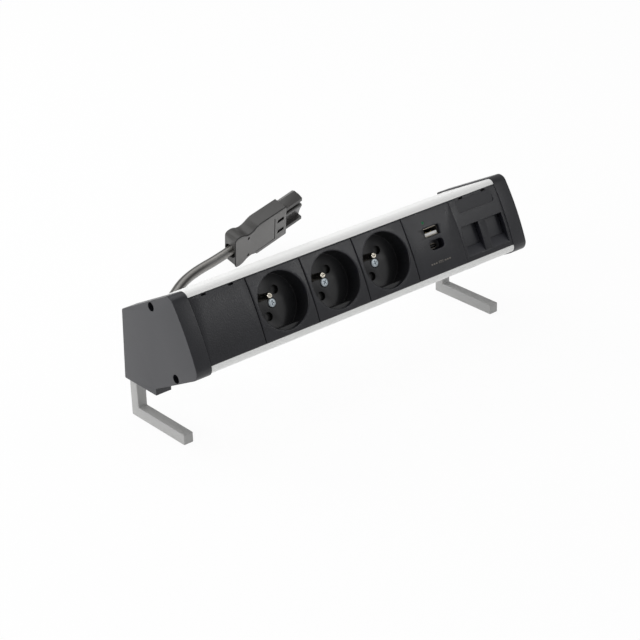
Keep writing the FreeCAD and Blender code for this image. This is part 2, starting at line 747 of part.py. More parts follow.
def cylinder(name, diameter, length):
    piece = doc.addObject("Part::Cylinder", name)
    bind(piece, Radius=dim(diameter) / 2, Height=length)
    return piece


def block(name, length, width, height):
    piece = doc.addObject("Part::Box", name)
    bind(piece, Length=length, Width=width, Height=height)
    return piece


def group(name, members):
    """Several separate solids of one kind, kept as one node."""
    whole = doc.addObject("Part::Compound", name)
    whole.Links = members
    return finished(whole)


def cut(name, base, tools):
    """The base with one or more solids taken out of it."""
    if len(tools) > 1:
        tool = doc.addObject("Part::MultiFuse", f"{name}_tools")
        tool.Shapes = tools
    else:
        tool = tools[0]
    result = doc.addObject("Part::Cut", name)
    result.Base = base
    result.Tool = tool
    return result


def join(name, members):
    result = doc.addObject("Part::MultiFuse", name)
    result.Shapes = members
    return result


def finished(piece):
    """State that a piece is one of the part's nodes."""
    piece.Label = piece.Name
    pieces.append(piece)
    return piece


# The four screws that hold the end caps to the profile's screw ports
def end_cap_screws():
    screws = []
    for side in (-1, 1):
        for sign in (1, -1):
            name = f"cap_screw_{len(screws) + 1}"
            head_x = BODY_LENGTH / 2 + S["CapThickness"] - S["HeadHoleDepth"]
            head = cylinder(f"{name}_head", S["CapScrewHead"], S["CapScrewHeadHeight"])
            seat(head, 0, 0, head_x)
            drive_depth = S["CapDriveDepth"]
            recess = cylinder(f"{name}_recess", S["CapDrive"], drive_depth + S["CutPast"])
            seat(recess, 0, 0, head_x + S["CapScrewHeadHeight"] - drive_depth)
            length = S["CapThickness"] - S["HeadHoleDepth"] + S["CapScrewGrip"]
            shank = cylinder(f"{name}_shank", S["CapScrew"], length)
            seat(shank, 0, 0, head_x - length)
            solid = join(f"{name}_solid", [head, shank])
            screw = cut(name, solid, [recess])
            y, z = upright(PORT_RISE * sign, -S["ScrewPortDepth"])
            seat(screw, 0, y, z, (0, 1, 0), 90 * side)
            screws.append(screw)
    group("end_cap_screws", screws)


# The two studs that hold the end caps on the feet
def foot_studs():
    studs = []
    for side in (-1, 1):
        stud = cylinder(f"foot_stud_{len(studs) + 1}", S["StudDiameter"], S["StudHold"] * 2)
        seat(stud, foot_x(side), stud_y(), S["CapBaseZ"] - S["StudHold"])
        studs.append(stud)
    group("foot_studs", studs)


# What every module's front has: a crowned block as wide as its place, with four latches
# that hook behind the profile's lips
def module_front(body, depth):
    section = new_sketch(body, "section", "YZ_Plane")
    h = HALF_MODULE
    draw(section, [(-h, -depth), (h, -depth), (h, 0, S["FaceRadius"]), (-h, 0)])
    pad(body, section, MODULE_WIDTH, symmetric=True)

    def upright_front_edge(edge):
        middle = edge.CenterOfMass
        on_side = near(abs(middle.x), MODULE_WIDTH / 2)
        return on_side and middle.z > 0

    round_edges(body, "edges", S["EdgeRadius"], upright_front_edge)
    for x_sign in (-1, 1):
        for y_sign in (-1, 1):
            word = f"latch_{'left' if x_sign < 0 else 'right'}_{'low' if y_sign < 0 else 'high'}"
            latch = new_sketch(body, word, "YZ_Plane", S["LatchSpread"] * x_sign)
            top = S["LipThickness"] + S["LatchSeat"]
            base = (HALF_MODULE - S["LatchRoot"]) * y_sign
            draw(
                latch,
                [
                    (base, -top),
                    ((HALF_MODULE + S["LatchReach"]) * y_sign, -top),
                    (base, -top - S["LatchHeight"]),
                ],
            )
            pad(body, latch, S["LatchWidth"], symmetric=True)


def hollow_back(body, depth):
    """Hollow a front from behind, to the wall's thickness."""
    room = new_sketch(body, "hollow", "XY_Plane", -dim(depth))
    wall = S["PlateWall"]
    draw_box(room, 0, 0, MODULE_WIDTH - wall * 2, MODULE_HEIGHT - wall * 2)
    pocket(body, room, dim(depth) - wall + FACE_RISE, backwards=True)


def release_notches(body):
    for side in (-1, 1):
        word = "left" if side < 0 else "right"
        notch = new_sketch(body, f"notch_{word}", "XY_Plane", ABOVE_FACE)
        height = S["NotchHeight"] + S["CutPast"]
        draw_box(
            notch,
            S["LatchSpread"] * side,
            HALF_MODULE - S["NotchHeight"] + height / 2,
            S["NotchWidth"],
            height,
        )
        pocket(body, notch, ABOVE_FACE + S["NotchDepth"])


# The blank plate in the first place, which hides the lead's terminals
def blank_plate():
    body = new_body("blank_plate")
    module_front(body, S["SkirtDepth"])
    hollow_back(body, S["SkirtDepth"])
    release_notches(body)
    seat_on_panel(body, module_x(0))


# A socket's front: the crowned frame, the recess with its two ledges, and the floor
# with two holes for a plug's pins, one for the earth pin and one for the middle screw
def socket_front(name, place):
    body = new_body(f"{name}_front")
    depth = -FRONT_BACK_Z
    module_front(body, depth)
    recess = new_sketch(body, "recess", "XY_Plane", ABOVE_FACE)
    draw_circle(recess, 0, 0, RECESS)
    pocket(body, recess, ABOVE_FACE + S["LedgeDepth"])
    r = RECESS / 2
    flat = r - S["LedgeWidth"]
    half = root(r * r - flat * flat)
    well = new_sketch(body, "well", "XY_Plane", ABOVE_FACE)
    draw(well, [(half, -flat, r), (half, flat), (-half, flat, r), (-half, -flat)])
    pocket(body, well, ABOVE_FACE - FLOOR_Z)

    def rim(edge):
        box = edge.BoundBox
        wide = near(box.XLength, RECESS, 0.5)
        return wide and box.ZMin > -0.5 and near(box.YLength, RECESS, 0.5)

    round_edges(body, "rim", S["RimRadius"], rim)
    # Four triangular pockets behind the corners of the frame
    for x_sign in (-1, 1):
        for y_sign in (-1, 1):
            word = f"corner_{'left' if x_sign < 0 else 'right'}_{'low' if y_sign < 0 else 'high'}"
            corner = new_sketch(body, word, "XY_Plane", FRONT_BACK_Z)
            far = HALF_MODULE - S["PlateWall"]
            slant = (RECESS / 2 + S["CornerWall"]) * math.sqrt(2)
            close = slant - far
            draw(
                corner,
                [(far * x_sign, far * y_sign), (close * x_sign, far * y_sign),
                 (far * x_sign, close * y_sign)],
            )
            pocket(body, corner, depth - S["CornerFace"], backwards=True)
    turn = S["PinTurn"]
    over_floor = FLOOR_Z + S["CutPast"]
    holes = new_sketch(body, "pin_holes", "XY_Plane", over_floor)
    for sign in (-1, 1):
        x, y = turned(S["PinSpread"] * sign, 0, turn)
        draw_circle(holes, x, y, S["PinHole"])
    x, y = turned(0, S["EarthSpread"], turn)
    draw_circle(holes, x, y, S["EarthPin"] + S["EarthGap"] * 2)
    draw_circle(holes, 0, 0, S["MiddleThread"] + S["MiddleGap"] * 2)
    pocket(body, holes, S["FloorThickness"] + S["CutPast"] * 2)
    sink = new_sketch(body, "screw_seat", "XY_Plane", over_floor)
    draw_circle(sink, 0, 0, S["MiddleHead"] + S["MiddleGap"] * 2)
    pocket(body, sink, S["MiddleSink"] + S["CutPast"])
    seat_on_panel(body, module_x(place))


# A socket's base: the block behind the front that holds the contacts. The shutter slides
# in its shallow pocket, and the wires lie in three grooves along its back
def socket_base(name, place):
    body = new_body(f"{name}_base")
    turn = S["PinTurn"]
    outline = new_sketch(body, "outline", "XY_Plane", FRONT_BACK_Z)
    inset = S["BaseInset"] * 2
    draw_box(outline, 0, 0, MODULE_WIDTH - inset, MODULE_HEIGHT - inset)
    pad(body, outline, S["BaseDepth"], backwards=True)
    gap = S["ShutterGap"]
    reach = S["ShutterReach"] + gap
    top = S["ShutterTop"] + gap
    low = -(S["ShutterBottom"] + S["ShutterTravel"] + gap)
    track = new_sketch(body, "track", "XY_Plane", FRONT_BACK_Z)
    draw(
        track,
        [turned(-reach, low, turn), turned(reach, low, turn),
         turned(reach, top, turn), turned(-reach, top, turn)],
    )
    pocket(body, track, S["ShutterThickness"] + gap * 2)
    for sign, word in ((-1, "left"), (1, "right")):
        x, y = turned(S["PinSpread"] * sign, 0, turn)
        chamber = new_sketch(body, f"chamber_{word}", "XY_Plane", FRONT_BACK_Z)
        draw_circle(chamber, x, y, S["ContactOuter"] + S["ContactGap"] * 2)
        pocket(body, chamber, contact_floor_depth())
    x, y = turned(0, S["EarthSpread"], turn)
    earth = new_sketch(body, "earth_hole", "XY_Plane", FRONT_BACK_Z)
    draw_circle(earth, x, y, S["EarthPin"] + S["ScrewGap"] * 2)
    draw_circle(earth, 0, 0, S["MiddleThread"] + S["ScrewGap"] * 2)
    pocket(body, earth, S["EarthHold"])
    for number in (-1, 0, 1):
        groove = new_sketch(body, f"groove_{number + 2}", "XY_Plane", BASE_BACK_Z)
        width = S["WireDiameter"] + S["WireGap"] * 2
        along = S["ModulePitch"] + S["CutPast"] * 2
        draw_box(groove, 0, S["WireSpread"] * number, along, width)
        pocket(body, groove, width, backwards=True)
    seat_on_panel(body, module_x(place))


def contact_floor_depth():
    return S["ShutterThickness"] + S["ContactBehind"] + S["ContactLength"]


# The shutter behind a socket's floor: two pads joined by a bridge below the middle screw
def socket_shutter(name, place):
    body = new_body(f"{name}_shutter")
    turn = S["PinTurn"]
    reach, inner = S["ShutterReach"], S["ShutterInner"]
    top, low, bridge = S["ShutterTop"], -S["ShutterBottom"], -S["ShutterBridge"]
    outline = new_sketch(body, "outline", "XY_Plane", FRONT_BACK_Z - S["ShutterGap"])
    corners = [
        (-reach, low), (reach, low), (reach, top), (inner, top),
        (inner, bridge), (-inner, bridge), (-inner, top), (-reach, top),
    ]
    draw(outline, [turned(x, y, turn) for x, y in corners])
    pad(body, outline, S["ShutterThickness"], backwards=True)
    seat_on_panel(body, module_x(place))


# The earth pin: a turned brass pin with a domed tip and a small centre mark
def socket_earth_pin(name, place):
    body = new_body(f"{name}_earth_pin")
    r = S["EarthPin"] / 2
    tip_z = FACE_RISE - S["EarthSink"]
    low_z = FRONT_BACK_Z - S["EarthHold"]
    half = new_sketch(body, "half", "XZ_Plane")
    mark, mark_z = S["PinMark"], tip_z - S["PinMarkDepth"]
    draw(
        half,
        [(0, low_z), (r, low_z), (r, tip_z - S["PinDome"], r * 1.35), (mark, tip_z),
         (mark, mark_z), (0, mark_z - mark * 0.6)],
    )
    turn_round(body, half)
    x, y = turned(0, S["EarthSpread"], S["PinTurn"])
    place_x = module_x(place) + x
    out_y, out_z = upright(y, 0)
    seat(body, place_x, out_y, out_z, (1, 0, 0), TILT)


# The cross-head screw in the middle of a socket's floor, which holds front and base
def socket_screw(name, place):
    seat_z = FLOOR_Z - S["MiddleSink"]
    head = cylinder(f"{name}_screw_head", S["MiddleHead"], S["MiddleHeadHeight"])
    seat(head, 0, 0, seat_z)
    shank = cylinder(f"{name}_screw_shank", S["MiddleThread"], S["MiddleLength"])
    seat(shank, 0, 0, seat_z - S["MiddleLength"])
    bars = []
    arm, thin, deep = S["CrossLength"], S["CrossWidth"], S["CrossDepth"]
    for number, (long, wide) in enumerate(((arm, thin), (thin, arm)), start=1):
        bar = block(f"{name}_screw_cross_{number}", long, wide, deep + S["CutPast"])
        seat(bar, -long / 2, -wide / 2, seat_z + S["MiddleHeadHeight"] - deep)
        bars.append(bar)
    solid = join(f"{name}_screw_solid", [head, shank])
    seat_on_panel(finished(cut(f"{name}_screw", solid, bars)), module_x(place))


# The two slotted sleeves that a plug's pins push into
def socket_contacts(name, place):
    sleeves = []
    floor_z = FRONT_BACK_Z - contact_floor_depth()
    for number, sign in enumerate((-1, 1), start=1):
        x, y = turned(S["PinSpread"] * sign, 0, S["PinTurn"])
        outer = cylinder(f"{name}_sleeve_{number}_outer", S["ContactOuter"], S["ContactLength"])
        bore = cylinder(f"{name}_sleeve_{number}_bore", S["ContactInner"], S["ContactLength"])
        seat(bore, 0, 0, S["ContactFloor"])
        across, slit_width = S["ContactOuter"] + S["CutPast"] * 2, S["SlitWidth"]
        slit = block(f"{name}_sleeve_{number}_slit", across, slit_width, S["ContactLength"])
        seat(slit, -across / 2, -slit_width / 2, S["SlitStart"])
        sleeve = cut(f"{name}_sleeve_{number}", outer, [bore, slit])
        seat(sleeve, x, y, floor_z)
        sleeves.append(sleeve)
    both = group(f"{name}_contacts", sleeves)
    seat_on_panel(both, module_x(place))


# The charger's front, with the large port's window, the small port's pocket and the lamp
def usb_front():
    body = new_body("usb_front")
    module_front(body, S["SkirtDepth"])
    hollow_back(body, S["SkirtDepth"])
    # The wall round the small port's pocket
    wall = S["PocketWall"]
    cup = new_sketch(body, "pocket_wall", "XY_Plane", -S["UsbFloor"] - wall)
    draw_box(
        cup, S["SmallPortX"], S["SmallPortY"], S["SmallPocketWidth"] + wall * 2,
        S["SmallPocketHeight"] + wall * 2, S["SmallPocketCorner"],
    )
    pad(body, cup, S["UsbFloor"] + wall)
    cavity = new_sketch(body, "pocket", "XY_Plane", ABOVE_FACE)
    draw_box(
        cavity, S["SmallPortX"], S["SmallPortY"], S["SmallPocketWidth"],
        S["SmallPocketHeight"], S["SmallPocketCorner"],
    )
    pocket(body, cavity, ABOVE_FACE + S["UsbFloor"])
    windows = new_sketch(body, "windows", "XY_Plane", ABOVE_FACE)
    frame = S["PortFrame"] * 2
    draw_box(
        windows, S["LargePortX"], S["LargePortY"], S["LargePortWidth"] + frame,
        S["LargePortHeight"] + frame,
    )
    gap = S["ShellGap"] * 2
    draw_box(
        windows, S["SmallPortX"], S["SmallPortY"], S["SmallPortWidth"] + gap,
        S["SmallPortHeight"] + gap, (S["SmallPortHeight"] + gap) / 2 - S["ShellFlat"],
    )
    draw_circle(windows, S["LampX"], LAMP_RISE, S["LampDiameter"] + S["LampGap"] * 2)
    pocket(body, windows, ABOVE_FACE + S["SkirtDepth"])
    seat_on_panel(body, module_x(CHARGER_PLACE))


# The charger's housing, a box behind its front that holds the circuit board on a ledge
def usb_housing():
    body = new_body("usb_housing")
    inset = S["BaseInset"] * 2
    wide, high = MODULE_WIDTH - inset, MODULE_HEIGHT - inset
    outline = new_sketch(body, "outline", "XY_Plane", -S["SkirtDepth"])
    draw_box(outline, 0, 0, wide, high)
    pad(body, outline, S["ChargerDepth"] - S["SkirtDepth"], backwards=True)
    room = new_sketch(body, "room", "XY_Plane", -S["SkirtDepth"])
    wall = S["ChargerWall"] * 2
    draw_box(room, 0, 0, wide - wall, high - wall)
    pocket(body, room, board_back() - S["SkirtDepth"])
    lower = new_sketch(body, "lower_room", "XY_Plane", -S["SkirtDepth"])
    ledge = S["BoardLedge"] * 2
    draw_box(lower, 0, 0, wide - wall - ledge, high - wall - ledge)
    pocket(body, lower, S["ChargerDepth"] - S["SkirtDepth"] - S["ChargerWall"])
    seat_on_panel(body, module_x(CHARGER_PLACE))


def board_back():
    return S["BoardDepth"] + S["BoardThickness"]


def usb_board():
    board = new_body("usb_circuit_board")
    inset = (S["BaseInset"] + S["ChargerWall"] + S["BoardGap"]) * 2
    outline = new_sketch(board, "outline", "XY_Plane", -S["BoardDepth"])
    draw_box(outline, 0, 0, MODULE_WIDTH - inset, MODULE_HEIGHT - inset)
    pad(board, outline, S["BoardThickness"], backwards=True)
    seat_on_panel(board, module_x(CHARGER_PLACE))
    coil = new_body("usb_transformer")
    core = new_sketch(coil, "core", "XY_Plane", -board_back())
    draw_box(core, S["CoilX"], S["CoilY"], S["CoilWidth"], S["CoilHeight"], S["CoilCorner"])
    pad(coil, core, S["CoilDepth"], backwards=True)
    seat_on_panel(coil, module_x(CHARGER_PLACE))


# The metal shell and the white tongue of the large port
def usb_large_port():
    shell = new_body("usb_a_shell")
    x, y = S["LargePortX"], S["LargePortY"]
    wide, high, corner = S["LargePortWidth"], S["LargePortHeight"], S["ShellCorner"]
    long, wall = S["BoardDepth"] - S["ShellSink"], S["ShellWall"]
    outline = new_sketch(shell, "outline", "XY_Plane", -S["ShellSink"])
    draw_box(outline, x, y, wide, high, corner)
    pad(shell, outline, long, backwards=True)
    mouth = new_sketch(shell, "mouth", "XY_Plane", -S["ShellSink"])
    draw_box(mouth, x, y, wide - wall * 2, high - wall * 2, corner - wall)
    pocket(shell, mouth, long - S["ShellFloor"])
    seat_on_panel(shell, module_x(CHARGER_PLACE))
    tongue = new_body("usb_a_tongue")
    bar = new_sketch(tongue, "bar", "XY_Plane", -S["TongueSink"])
    draw_box(bar, x, y - S["TongueDrop"], S["TongueWidth"], S["TongueThickness"])
    pad(tongue, bar, S["BoardDepth"] - S["TongueSink"] - S["ShellFloor"], backwards=True)
    seat_on_panel(tongue, module_x(CHARGER_PLACE))


# The oval shell and the thin tongue of the small port
def usb_small_port():
    shell = new_body("usb_c_shell")
    x, y = S["SmallPortX"], S["SmallPortY"]
    front = -S["UsbFloor"] + S["SmallPortProud"]
    wide, high, flat = S["SmallPortWidth"], S["SmallPortHeight"], S["ShellFlat"]
    outline = new_sketch(shell, "outline", "XY_Plane", front)
    draw_box(outline, x, y, wide, high, high / 2 - flat)
    pad(shell, outline, S["BoardDepth"] + front, backwards=True)
    mouth = new_sketch(shell, "mouth", "XY_Plane", front)
    wall = S["ShellWall"] * 2
    draw_box(mouth, x, y, wide - wall, high - wall, (high - wall) / 2 - flat)
    pocket(shell, mouth, S["BoardDepth"] + front - S["ShellFloor"])
    seat_on_panel(shell, module_x(CHARGER_PLACE))
    tongue = new_body("usb_c_tongue")
    tip = front - S["SmallTongueSink"]
    bar = new_sketch(tongue, "bar", "XY_Plane", tip)
    draw_box(bar, x, y, S["SmallTongueWidth"], S["SmallTongueThickness"])
    pad(tongue, bar, S["BoardDepth"] + tip - S["ShellFloor"], backwards=True)
    seat_on_panel(tongue, module_x(CHARGER_PLACE))


# The light pipe that carries a lamp's light from the circuit board to the front
def usb_light_pipe():
    length = S["BoardDepth"] + S["LampProud"]
    lamp = finished(cylinder("usb_light_pipe", S["LampDiameter"], length))
    out_y, out_z = upright(LAMP_RISE, -S["BoardDepth"])
    seat(lamp, module_x(CHARGER_PLACE) + S["LampX"], out_y, out_z, (1, 0, 0), TILT)


# The data plate: a label window above two outlets, each with a ramp at its lower edge
def data_front():
    body = new_body("data_front")
    depth = S["SkirtDepth"]
    module_front(body, depth)
    hollow_back(body, depth)
    release_notches(body)
    outlets = new_sketch(body, "outlets", "XY_Plane", ABOVE_FACE)
    high = S["DataTop"] + DATA_BOTTOM
    middle_y = (S["DataTop"] - DATA_BOTTOM) / 2
    for side in (-1, 1):
        draw_box(outlets, S["DataSpread"] * side, middle_y, S["DataWidth"], high)
    pocket(body, outlets, ABOVE_FACE + depth)
    # The ramp and the upright walls on both sides of each outlet
    drop, root_y = DATA_BOTTOM, DATA_BOTTOM + S["RampRoot"]
    fall = S["FaceRadius"] - root(S["FaceRadius"] * S["FaceRadius"] - drop * drop)
    edge_z = FACE_RISE - fall
    wall_back = -(S["CoverDepth"] - S["CoverGap"])
    thick = S["DataWall"]
    for side in (-1, 1):
        word = "left" if side < 0 else "right"
        ramp = new_sketch(body, f"ramp_{word}", "YZ_Plane", S["DataSpread"] * side)
        draw(
            ramp,
            [
                (-RAMP_TOP, -S["RampDepth"]),
                (-RAMP_TOP, wall_back),
                (-root_y, wall_back),
                (-root_y, edge_z - S["RampRoot"]),
                (-drop, edge_z - S["RampStep"]),
            ],
        )
        pad(body, ramp, S["DataWidth"] + thick, symmetric=True)
        for wall_side in (-1, 1):
            hand = "inner" if wall_side * side < 0 else "outer"
            wall = new_sketch(body, f"wall_{word}_{hand}", "XY_Plane", wall_back)
            x = S["DataSpread"] * side + (S["DataWidth"] / 2 + thick / 2) * wall_side
            draw_box(wall, x, middle_y, thick, high + thick)
            pad(body, wall, -wall_back)
        lintel = new_sketch(body, f"lintel_{word}", "XY_Plane", wall_back)
        lintel_y = S["DataTop"] + thick / 2
        draw_box(lintel, S["DataSpread"] * side, lintel_y, S["DataWidth"] + thick, thick)
        pad(body, lintel, -wall_back)
    # The slots in the lower skirt that let the dust covers slide down
    skirt = S["PlateWall"]
    for side in (-1, 1):
        word = "left" if side < 0 else "right"
        slot = new_sketch(body, f"cover_slot_{word}", "YZ_Plane", S["DataSpread"] * side)
        gap = S["CoverGap"]
        middle = -S["CoverDepth"] - S["CoverThickness"] / 2
        draw_box(
            slot, -HALF_MODULE + skirt / 2, middle, skirt + S["CutPast"] * 2,
            S["CoverThickness"] + gap * 2,
        )
        pocket(body, slot, S["DataWidth"] + (S["CoverLap"] + gap) * 2, symmetric=True)
    window = new_sketch(body, "label_window", "XY_Plane", ABOVE_FACE)
    draw_box(window, 0, LABEL_RISE, S["LabelWidth"], S["LabelHeight"], S["LabelCorner"])
    pocket(body, window, S["CutPast"] + S["LabelThickness"] + S["LabelSink"])
    seat_on_panel(body, module_x(DATA_PLACE))


# The thin cover that lies in the label window
def data_label_cover():
    body = new_body("data_label_cover")
    back_z = FACE_RISE - S["LabelThickness"] - S["LabelSink"]
    section = new_sketch(body, "section", "XY_Plane", back_z)
    gap = S["LabelGap"]
    draw_box(
        section, 0, LABEL_RISE, S["LabelWidth"] - gap * 2, S["LabelHeight"] - gap * 2,
        S["LabelCorner"] - gap,
    )
    pad(body, section, S["LabelThickness"])
    seat_on_panel(body, module_x(DATA_PLACE))


# The frame behind the data plate, with two open bays for data jacks. Its front holds
# the tracks of the two dust covers
def data_frame():
    body = new_body("data_frame")
    front_z = -S["CoverDepth"] - S["CoverThickness"] - S["CoverGap"]
    outline = new_sketch(body, "outline", "XY_Plane", front_z)
    room = (S["PlateWall"] + S["CoverGap"]) * 2
    draw_box(outline, 0, 0, MODULE_WIDTH - room, MODULE_HEIGHT - room)
    pad(body, outline, S["DataDepth"] + front_z, backwards=True)
    bays = new_sketch(body, "bays", "XY_Plane", front_z)
    top_y, low_y = S["BayTop"], S["PlateWall"] + S["BayFoot"] - HALF_MODULE
    wide = S["DataWidth"] - S["BayStep"] * 2
    for side in (-1, 1):
        draw_box(bays, S["DataSpread"] * side, (top_y + low_y) / 2, wide, top_y - low_y)
    pocket(body, bays, S["DataDepth"])
    seat_on_panel(body, module_x(DATA_PLACE))


# A sliding dust cover behind each data outlet
def data_cover(name, side):
    body = new_body(name)
    outline = new_sketch(body, "outline", "XY_Plane", -S["CoverDepth"])
    lap = S["CoverLap"]
    high = S["DataTop"] + RAMP_TOP + lap * 2
    middle = (S["DataTop"] - RAMP_TOP) / 2
    draw_box(outline, S["DataSpread"] * side, middle, S["DataWidth"] + lap * 2, high)
    pad(body, outline, S["CoverThickness"], backwards=True)
    seat_on_panel(body, module_x(DATA_PLACE))


# Three insulated wires run along the backs of the sockets from the terminal block
def wires():
    start = S["GlandX"] + S["BlockLength"] / 2
    end = module_x(CHARGER_PLACE) - S["ModulePitch"] / 2
    back_z = BASE_BACK_Z + S["WireDiameter"] / 2 + S["WireSink"]
    for word, number in (("live", 1), ("neutral", 0), ("earth", -1)):
        wire = finished(cylinder(f"wire_{word}", S["WireDiameter"], end - start))
        y, z = upright(S["WireSpread"] * number, back_z)
        seat(wire, start, y, z, (0, 1, 0), 90)


def terminal_block():
    body = new_body("terminal_block")
    front_z = -(INNER_DEPTH - S["BlockDepth"])
    outline = new_sketch(body, "outline", "XY_Plane", front_z)
    draw_box(outline, 0, 0, S["BlockLength"], S["BlockHeight"])
    pad(body, outline, S["BlockDepth"], backwards=True)
    room = new_sketch(body, "gland_room", "XY_Plane", -INNER_DEPTH)
    draw_circle(room, 0, 0, S["NutRoom"])
    pocket(body, room, S["NutThickness"] + S["NutSpare"], backwards=True)
    screws = new_sketch(body, "screw_wells", "XY_Plane", front_z)
    for number in (-1, 0, 1):
        draw_circle(screws, 0, S["WireSpread"] * number, S["WellDiameter"])
    pocket(body, screws, S["WellDepth"])
    seat_on_panel(body, S["GlandX"])


# The cable gland through the back wall, with its tapered strain relief and its lock nut
def cord_gland():
    body = new_body("cord_gland")
    out = -S["ProfileDepth"]
    half = new_sketch(body, "half", "XZ_Plane")
    thread = S["GlandThread"] / 2
    inside = -INNER_DEPTH + S["NutThickness"]
    flange = out - S["GlandFlangeLength"]
    end = out - S["GlandLength"]
    draw(
        half,
        [
            (0, inside), (thread, inside), (thread, out), (S["GlandFlange"] / 2, out),
            (S["GlandFlange"] / 2, flange),
            (S["GlandSleeve"] / 2, flange - S["GlandShoulder"]),
            (S["GlandTip"] / 2, end), (0, end),
        ],
    )
    turn_round(body, half)
    seat_on_panel(body, S["GlandX"])
    nut = new_body("gland_lock_nut")
    ring = new_sketch(nut, "ring", "XY_Plane", -INNER_DEPTH)
    side = S["NutAcross"] / math.sqrt(3)
    draw(ring, [turned(side, 0, dim(360 / 6 * corner)) for corner in range(6)])
    draw_circle(ring, 0, 0, S["GlandThread"] + S["GlandGap"] * 2)
    pad(nut, ring, S["NutThickness"])
    seat_on_panel(nut, S["GlandX"])


# The lead lies on the table behind the body. Its turns, in mm, follow the photograph
# where it shows them: out of the gland, down to the table, round behind the body and
# gently up into the connector's mouth
CORD_TURNS = [
    (-97.2, 75.3, 28.5),
    (-90.2, 91.8, 19.0),
    (-80.3, 107.4, 11.0),
    (-68.0, 122.1, 5.7),
    (-53.8, 135.8, 4.1),
    (-38.2, 148.4, 4.1),
    (-21.7, 159.8, 5.2),
    (-4.8, 169.8, 8.4),
    (14.0, 175.5, 10.5),
]


def connector_turn():
    return FreeCAD.Rotation(
        S["ConnectorYaw"].value, S["ConnectorPitch"].value, S["ConnectorRoll"].value
    )


def cord_points():
    """The lead's corners, from the gland's end to the floor of the connector's mouth."""
    tilt = math.radians(TILT.value)
    outward = FreeCAD.Vector(0, math.sin(tilt), -math.cos(tilt))
    wall = FreeCAD.Vector(S["GlandX"].value, S["PanelY"].value, S["PanelZ"].value)
    start = wall + outward * (S["ProfileDepth"] + S["GlandLength"]).value
    turn = connector_turn()
    middle = FreeCAD.Vector(0, S["ConnectorThickness"].value, S["ConnectorHeight"].value) / 2
    corner = FreeCAD.Vector(S["ConnectorX"].value, S["ConnectorY"].value, 0)
    rear = corner + turn.multVec(middle)
    along = turn.multVec(FreeCAD.Vector(1, 0, 0))
    first_turn = start + outward * S["CordOut"].value
    last_turn = rear - along * S["CordIn"].value
    stop = rear + along * S["FunnelDepth"].value
    turns = [FreeCAD.Vector(*point) for point in CORD_TURNS]
    return [start, first_turn] + turns + [last_turn, stop]


# The share of a run that the arc at each of its ends takes
ARC_SHARE = 0.45


def cord_path(points):
    """Straight runs joined by tangent arcs, each as large as its two runs allow."""
    edges = []
    radii = []
    at = points[0]
    for before, corner, after in zip(points, points[1:], points[2:]):
        come = (corner - before).normalize()
        go = (after - corner).normalize()
        half_turn = come.getAngle(go) / 2
        reach = ARC_SHARE * min((corner - before).Length, (after - corner).Length)
        radius = reach / math.tan(half_turn)
        radii.append(round(radius, 1))
        a = corner - come * reach
        b = corner + go * reach
        bisector = (go - come).normalize()
        centre = corner + bisector * (radius / math.cos(half_turn))
        middle = centre - bisector * radius
        edges.append(Part.LineSegment(at, a).toShape())
        edges.append(Part.Arc(a, middle, b).toShape())
        at = b
    edges.append(Part.LineSegment(at, points[-1]).toShape())
    return Part.Wire(edges), radii


def supply_cord():
    path, radii = cord_path(cord_points())
    print("bend radii of the lead, mm:", radii)
    first = path.Edges[0]
    way = first.tangentAt(first.FirstParameter)
    radius = S["CordDiameter"].value / 2
    ring = Part.Wire(Part.Circle(first.Vertexes[0].Point, way, radius).toShape())
    tube = path.makePipeShell([ring], True, True)
    expected = math.pi * radius**2 * path.Length
    print("lead length", round(path.Length, 1), "volume over section times length",
          round(tube.Volume / expected, 4))
    cord = finished(doc.addObject("Part::Feature", "supply_cord"))
    cord.Shape = tube


def seat_connector(piece):
    """The rear lower corner on the table, the front raised and the broad side leaning."""
    at = f"vector({S['ConnectorX'].text}; {S['ConnectorY'].text}; 0)"
    angles = (S["ConnectorYaw"], S["ConnectorPitch"], S["ConnectorRoll"])
    turn = "; ".join(angle.text for angle in angles)
    corner = FreeCAD.Vector(S["ConnectorX"].value, S["ConnectorY"].value, 0)
    piece.Placement = FreeCAD.Placement(corner, connector_turn())
    piece.setExpression("Placement", f"placement({at}; rotation({turn}))")


